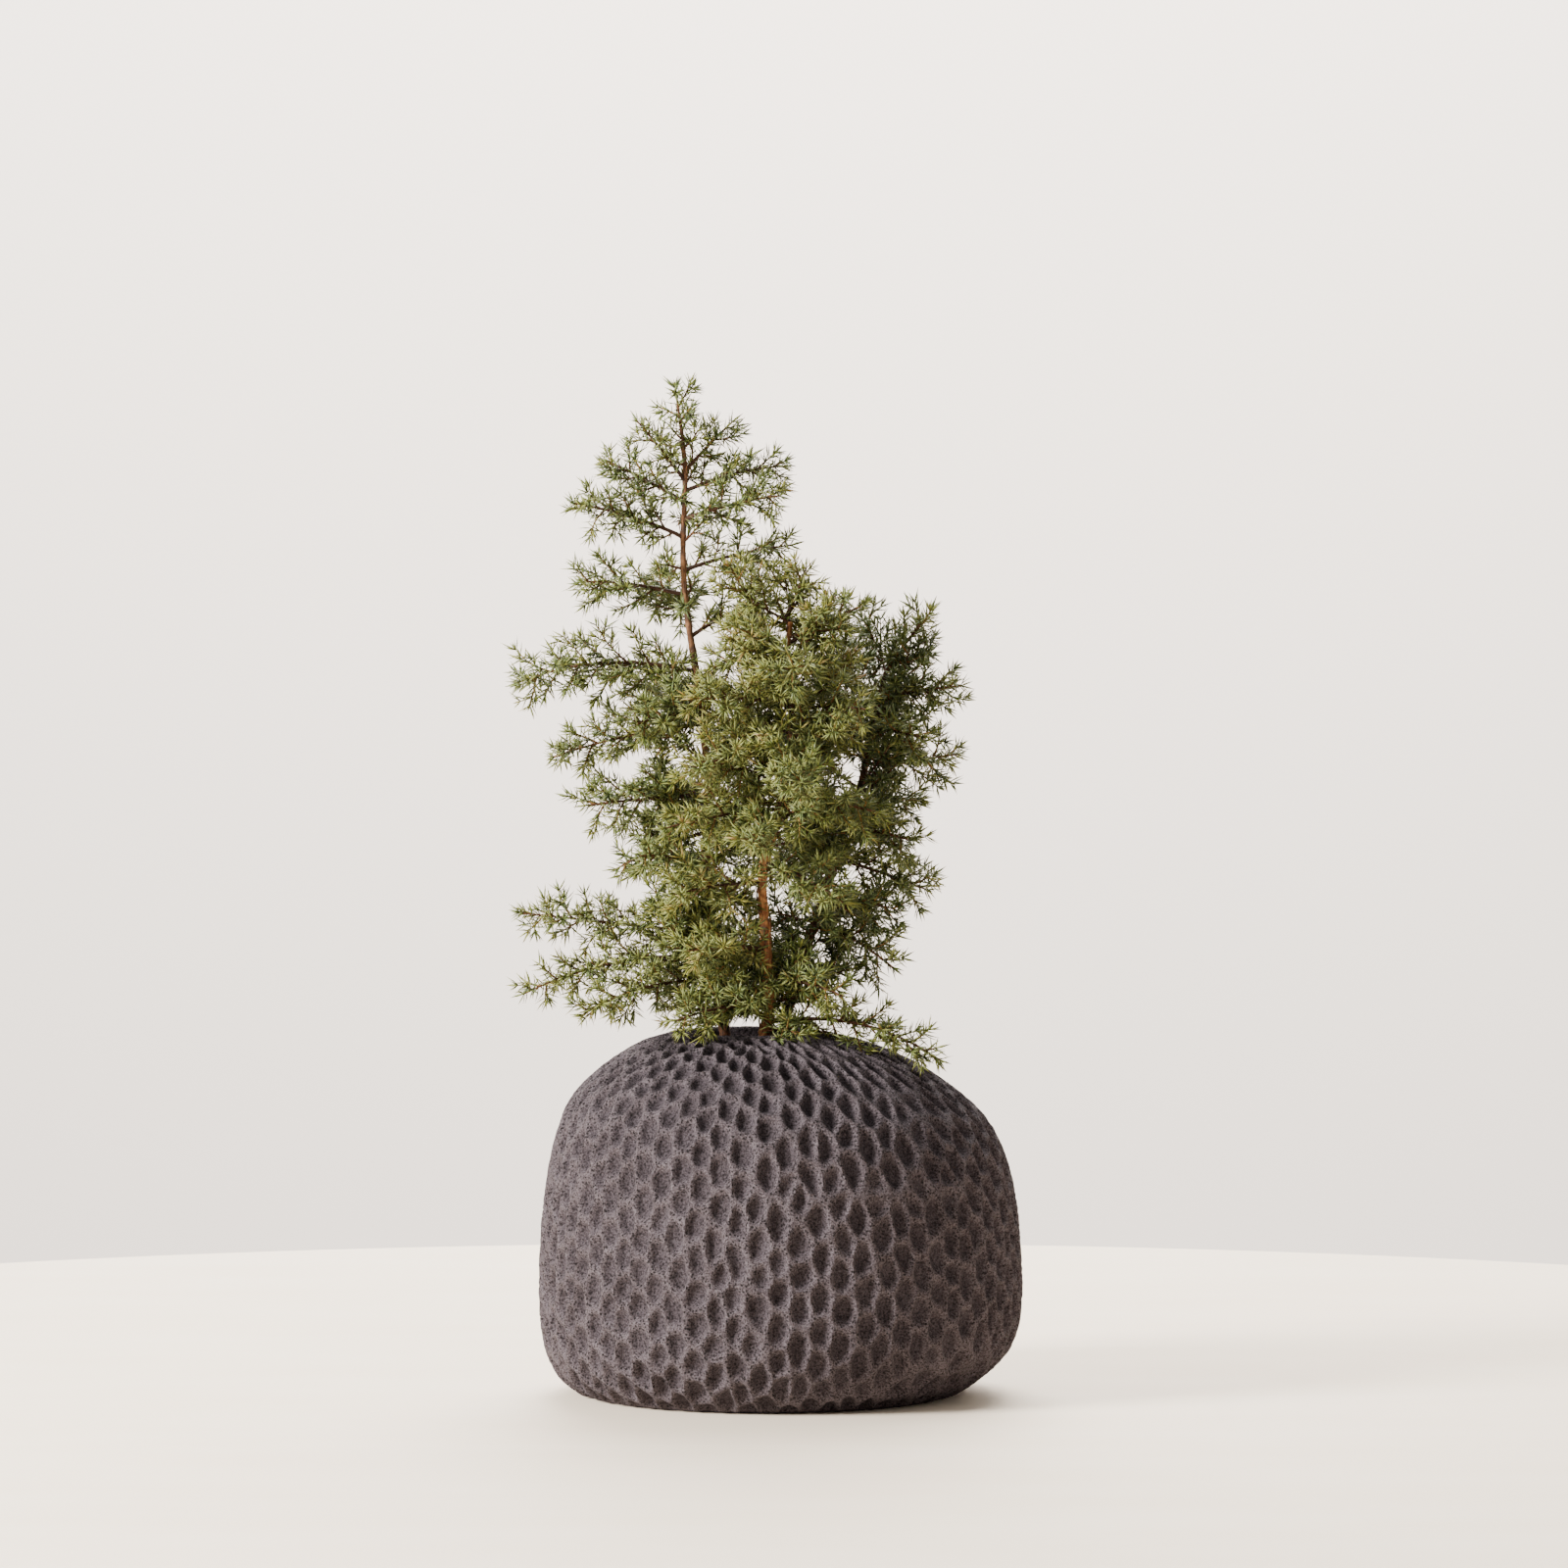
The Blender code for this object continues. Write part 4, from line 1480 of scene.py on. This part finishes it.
@dataclass
class Studio:
    """The floor, the backdrop, the soft lights and the camera."""

    table: PaleTable = field(default_factory=PaleTable)
    wall: PlainWall = field(default_factory=PlainWall)
    camera_distance: float = 5.0
    camera_height: float = 0.587
    view_width: float = 0.8  # what the frame spans at the plant
    view_centre: tuple[float, float] = (0.0085, 0.3126)  # X and Z
    table_radius: float = 0.92
    table_y: float = -0.165
    wall_y: float = 5.8

    def build(self) -> None:
        """Sets up the whole stage."""
        self.floor()
        self.backdrop()
        self.lights()
        self.camera()

    def set_up(self, name: str, look: Look) -> None:
        """Names and dresses the stage piece that was just added."""
        added = settle(bpy.context.object)
        added.name = name
        coat(added, look)

    def floor(self) -> None:
        """A round table top, a little wider than the frame."""
        deselect()
        bpy.ops.mesh.primitive_circle_add(
            vertices=192, radius=self.table_radius, fill_type="NGON", location=(0, self.table_y, 0)
        )
        self.set_up("floor", self.table.material())

    def backdrop(self) -> None:
        """A plain wall behind the table."""
        deselect()
        bpy.ops.mesh.primitive_plane_add(
            size=30, location=(0, self.wall_y, 0), rotation=(math.radians(90), 0, 0)
        )
        self.set_up("backdrop", self.wall.material())

    def lights(self) -> None:
        """A broad window-like key from the left, a weak fill and soft surroundings."""
        self.area("key_light", (-2.3, -1.25, 1.15), 0.9, 300.0, (1.0, 0.975, 0.94))
        self.area("front_fill", (0.9, -3.4, 2.0), 2.4, 8.0, (1.0, 0.97, 0.94))
        self.area("top_light", (0.2, 1.3, 2.2), 1.6, 105.0, (1.0, 0.98, 0.95))
        self.area("backdrop_light", (0.0, 3.6, 3.4), 2.6, 900.0, (1.0, 0.98, 0.96), (0, 5.8, 0.2))
        world = bpy.data.worlds.new("soft_surroundings")
        world.use_nodes = True
        sky = world.node_tree.nodes["Background"]
        sky.inputs["Color"].default_value = linear("#fbf7f2")
        sky.inputs["Strength"].default_value = 0.45
        bpy.context.scene.world = world

    def area(
        self,
        name: str,
        place: Point,
        size: float,
        power: float,
        colour: Point,
        target: Point = (0.0, 0.0, 0.2),
    ) -> None:
        """Adds one square area light that faces a target.

        Args:
            name: the light's name.
            place: where it stands, in metres.
            size: the length of its side, in metres.
            power: its power in watts.
            colour: its linear colour.
            target: the point that it faces.
        """
        data = bpy.data.lights.new(name, "AREA")
        data.size = size
        data.energy = power
        data.color = colour
        self.aim(name, data, place, target).visible_camera = False

    def aim(self, name: str, data: bpy.types.ID, place: Point, target: Point) -> Piece:
        """Adds a light or a camera that faces a target.

        Args:
            name: its name.
            data: the light or the camera.
            place: where it stands, in metres.
            target: the point that it faces.

        Returns:
            The new object.
        """
        made = bpy.data.objects.new(name, data)
        made.location = place
        made.rotation_euler = (Vector(target) - Vector(place)).to_track_quat("-Z", "Y").to_euler()
        bpy.context.scene.collection.objects.link(made)
        return made

    def camera(self) -> None:
        """A long lens a little above the pot."""
        data = bpy.data.cameras.new("camera")
        data.sensor_width = 36.0
        data.lens = 36.0 * self.camera_distance / self.view_width
        x, z = self.view_centre
        place = (x, -self.camera_distance, self.camera_height)
        bpy.context.scene.camera = self.aim("camera", data, place, (x, 0.0, z))


# -------------------------------------------------------------------- main

STEMS = {
    "tall_stem": WoodyStem(
        "tall_stem",
        2.9,
        1.2,
        (
            (-20.0, 8.0, 168.0), (-21.5, 8.5, 184.0), (-30.5, 13.0, 247.0),
            (-31.5, 15.0, 272.0), (-30.5, 16.0, 312.0), (-34.0, 14.0, 353.0),
            (-41.5, 11.0, 403.0), (-43.0, 9.0, 433.0), (-42.0, 8.0, 473.0), (-44.0, 7.0, 488.0),
        ),
        JuniperBark("young_juniper_bark", fresh="#8f6644", red="#6e4930", weathered="#54402f"),
        strips=14,
    ),
    "front_stem": WoodyStem(
        "front_stem",
        3.3,
        1.4,
        (
            (-3.5, -10.0, 168.0), (-1.5, -10.5, 184.0), (1.0, -11.5, 202.0),
            (-1.5, -14.0, 242.0), (-2.0, -15.0, 271.0), (6.0, -16.0, 298.0),
            (11.5, -15.0, 328.0), (12.5, -14.0, 353.0), (10.0, -13.0, 373.0),
            (11.5, -12.0, 396.0),
        ),
        JuniperBark("peeling_juniper_bark"),
        strips=46,
    ),
    "right_stem": WoodyStem(
        "right_stem",
        2.7,
        1.3,
        (
            (6.5, 10.0, 168.0), (8.5, 10.5, 187.0), (23.5, 18.0, 237.0), (38.5, 22.0, 282.0),
            (48.5, 24.0, 313.0), (58.5, 24.0, 360.0), (63.0, 24.0, 372.0),
        ),
        JuniperBark("old_juniper_bark", fresh="#74502f", red="#583a24", weathered="#3d2e22"),
        strips=20,
    ),
}


def tint_of(node: str) -> Tint:
    """The tint of a spray, by where it grows. The back and inner sprays on the right get the darker
    tint, partly painted shade. The left sprays and the leader at the front get the yellower tint,
    partly painted light.
    """
    if node.startswith("front"):
        return Tint.SUNLIT if "left" in node or "leader" in node else Tint.OLIVE
    if node.startswith("right"):
        return Tint.SHADED if "back" in node or "inner" in node else Tint.GREEN
    return Tint.OLIVE if node.startswith("low") else Tint.GREEN


def sprays_between(prefixes: tuple[str, ...], low: float, high: float) -> list[Spray]:
    """The sprays with these name starts whose middle lies between two heights in metres."""
    found = []
    for i, node in enumerate(sorted(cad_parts)):
        if "foliage" not in node or not node.startswith(prefixes):
            continue
        bottom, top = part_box(node)
        if low <= (bottom.z + top.z) / 2 < high:
            found.append(Spray(node, tint_of(node), seed=100 + i))
    return found


def foliage_tiers() -> list[FoliageTier]:
    """All the foliage, in tiers small enough to be one piece each."""
    front = ("front_l", "front_n", "front_r")
    return [
        FoliageTier(
            "tall_upper",
            sprays_between(("tall",), 0.38, 1.0),
            [InnerGrowth("tall_stem", 400, 486, 12.0, (12, 20), Tint.GREEN, 21)],
        ),
        FoliageTier(
            "tall_lower",
            sprays_between(("tall",), 0.0, 0.38),
            [InnerGrowth("tall_stem", 222, 345, 6.5, (28, 48), Tint.GREEN, 22)],
        ),
        FoliageTier(
            "low",
            sprays_between(("low", "front_low"), 0.0, 1.0),
            [
                InnerGrowth("tall_stem", 187, 224, 3.0, (28, 56), Tint.OLIVE, 27),
                InnerGrowth("front_stem", 186, 210, 5.0, (20, 36), Tint.OLIVE, 28),
            ],
        ),
        FoliageTier(
            "front_upper",
            sprays_between(front, 0.33, 1.0),
            [InnerGrowth("front_stem", 322, 398, 3.2, (26, 46), Tint.SUNLIT, 23)],
        ),
        FoliageTier(
            "front_lower",
            [s for s in sprays_between(front, 0.0, 0.33) if "low" not in s.node],
            [InnerGrowth("front_stem", 274, 322, 3.2, (28, 48), Tint.OLIVE, 24)],
        ),
        FoliageTier(
            "right_upper",
            sprays_between(("right",), 0.31, 1.0),
            [InnerGrowth("right_stem", 305, 370, 4.0, (26, 46), Tint.SHADED, 25)],
        ),
        FoliageTier(
            "right_lower",
            sprays_between(("right",), 0.0, 0.31),
            [InnerGrowth("right_stem", 192, 305, 4.5, (26, 48), Tint.SHADED, 26)],
        ),
    ]


def main() -> None:
    """Builds the looks of every piece, in order."""
    logging.basicConfig(level=logging.INFO, format="%(message)s")
    Studio().build()
    CarvedPot().build()
    SoilBed().build()
    DrainageMesh().build()
    for stem in STEMS.values():
        stem.build()
    blade = NeedleBlade().template()
    needle_look = JuniperNeedle().material()
    twig_look = TwigBark().material()
    for tier in foliage_tiers():
        tier.build(STEMS, blade, needle_look, twig_look)


if __name__ == "__main__":
    main()
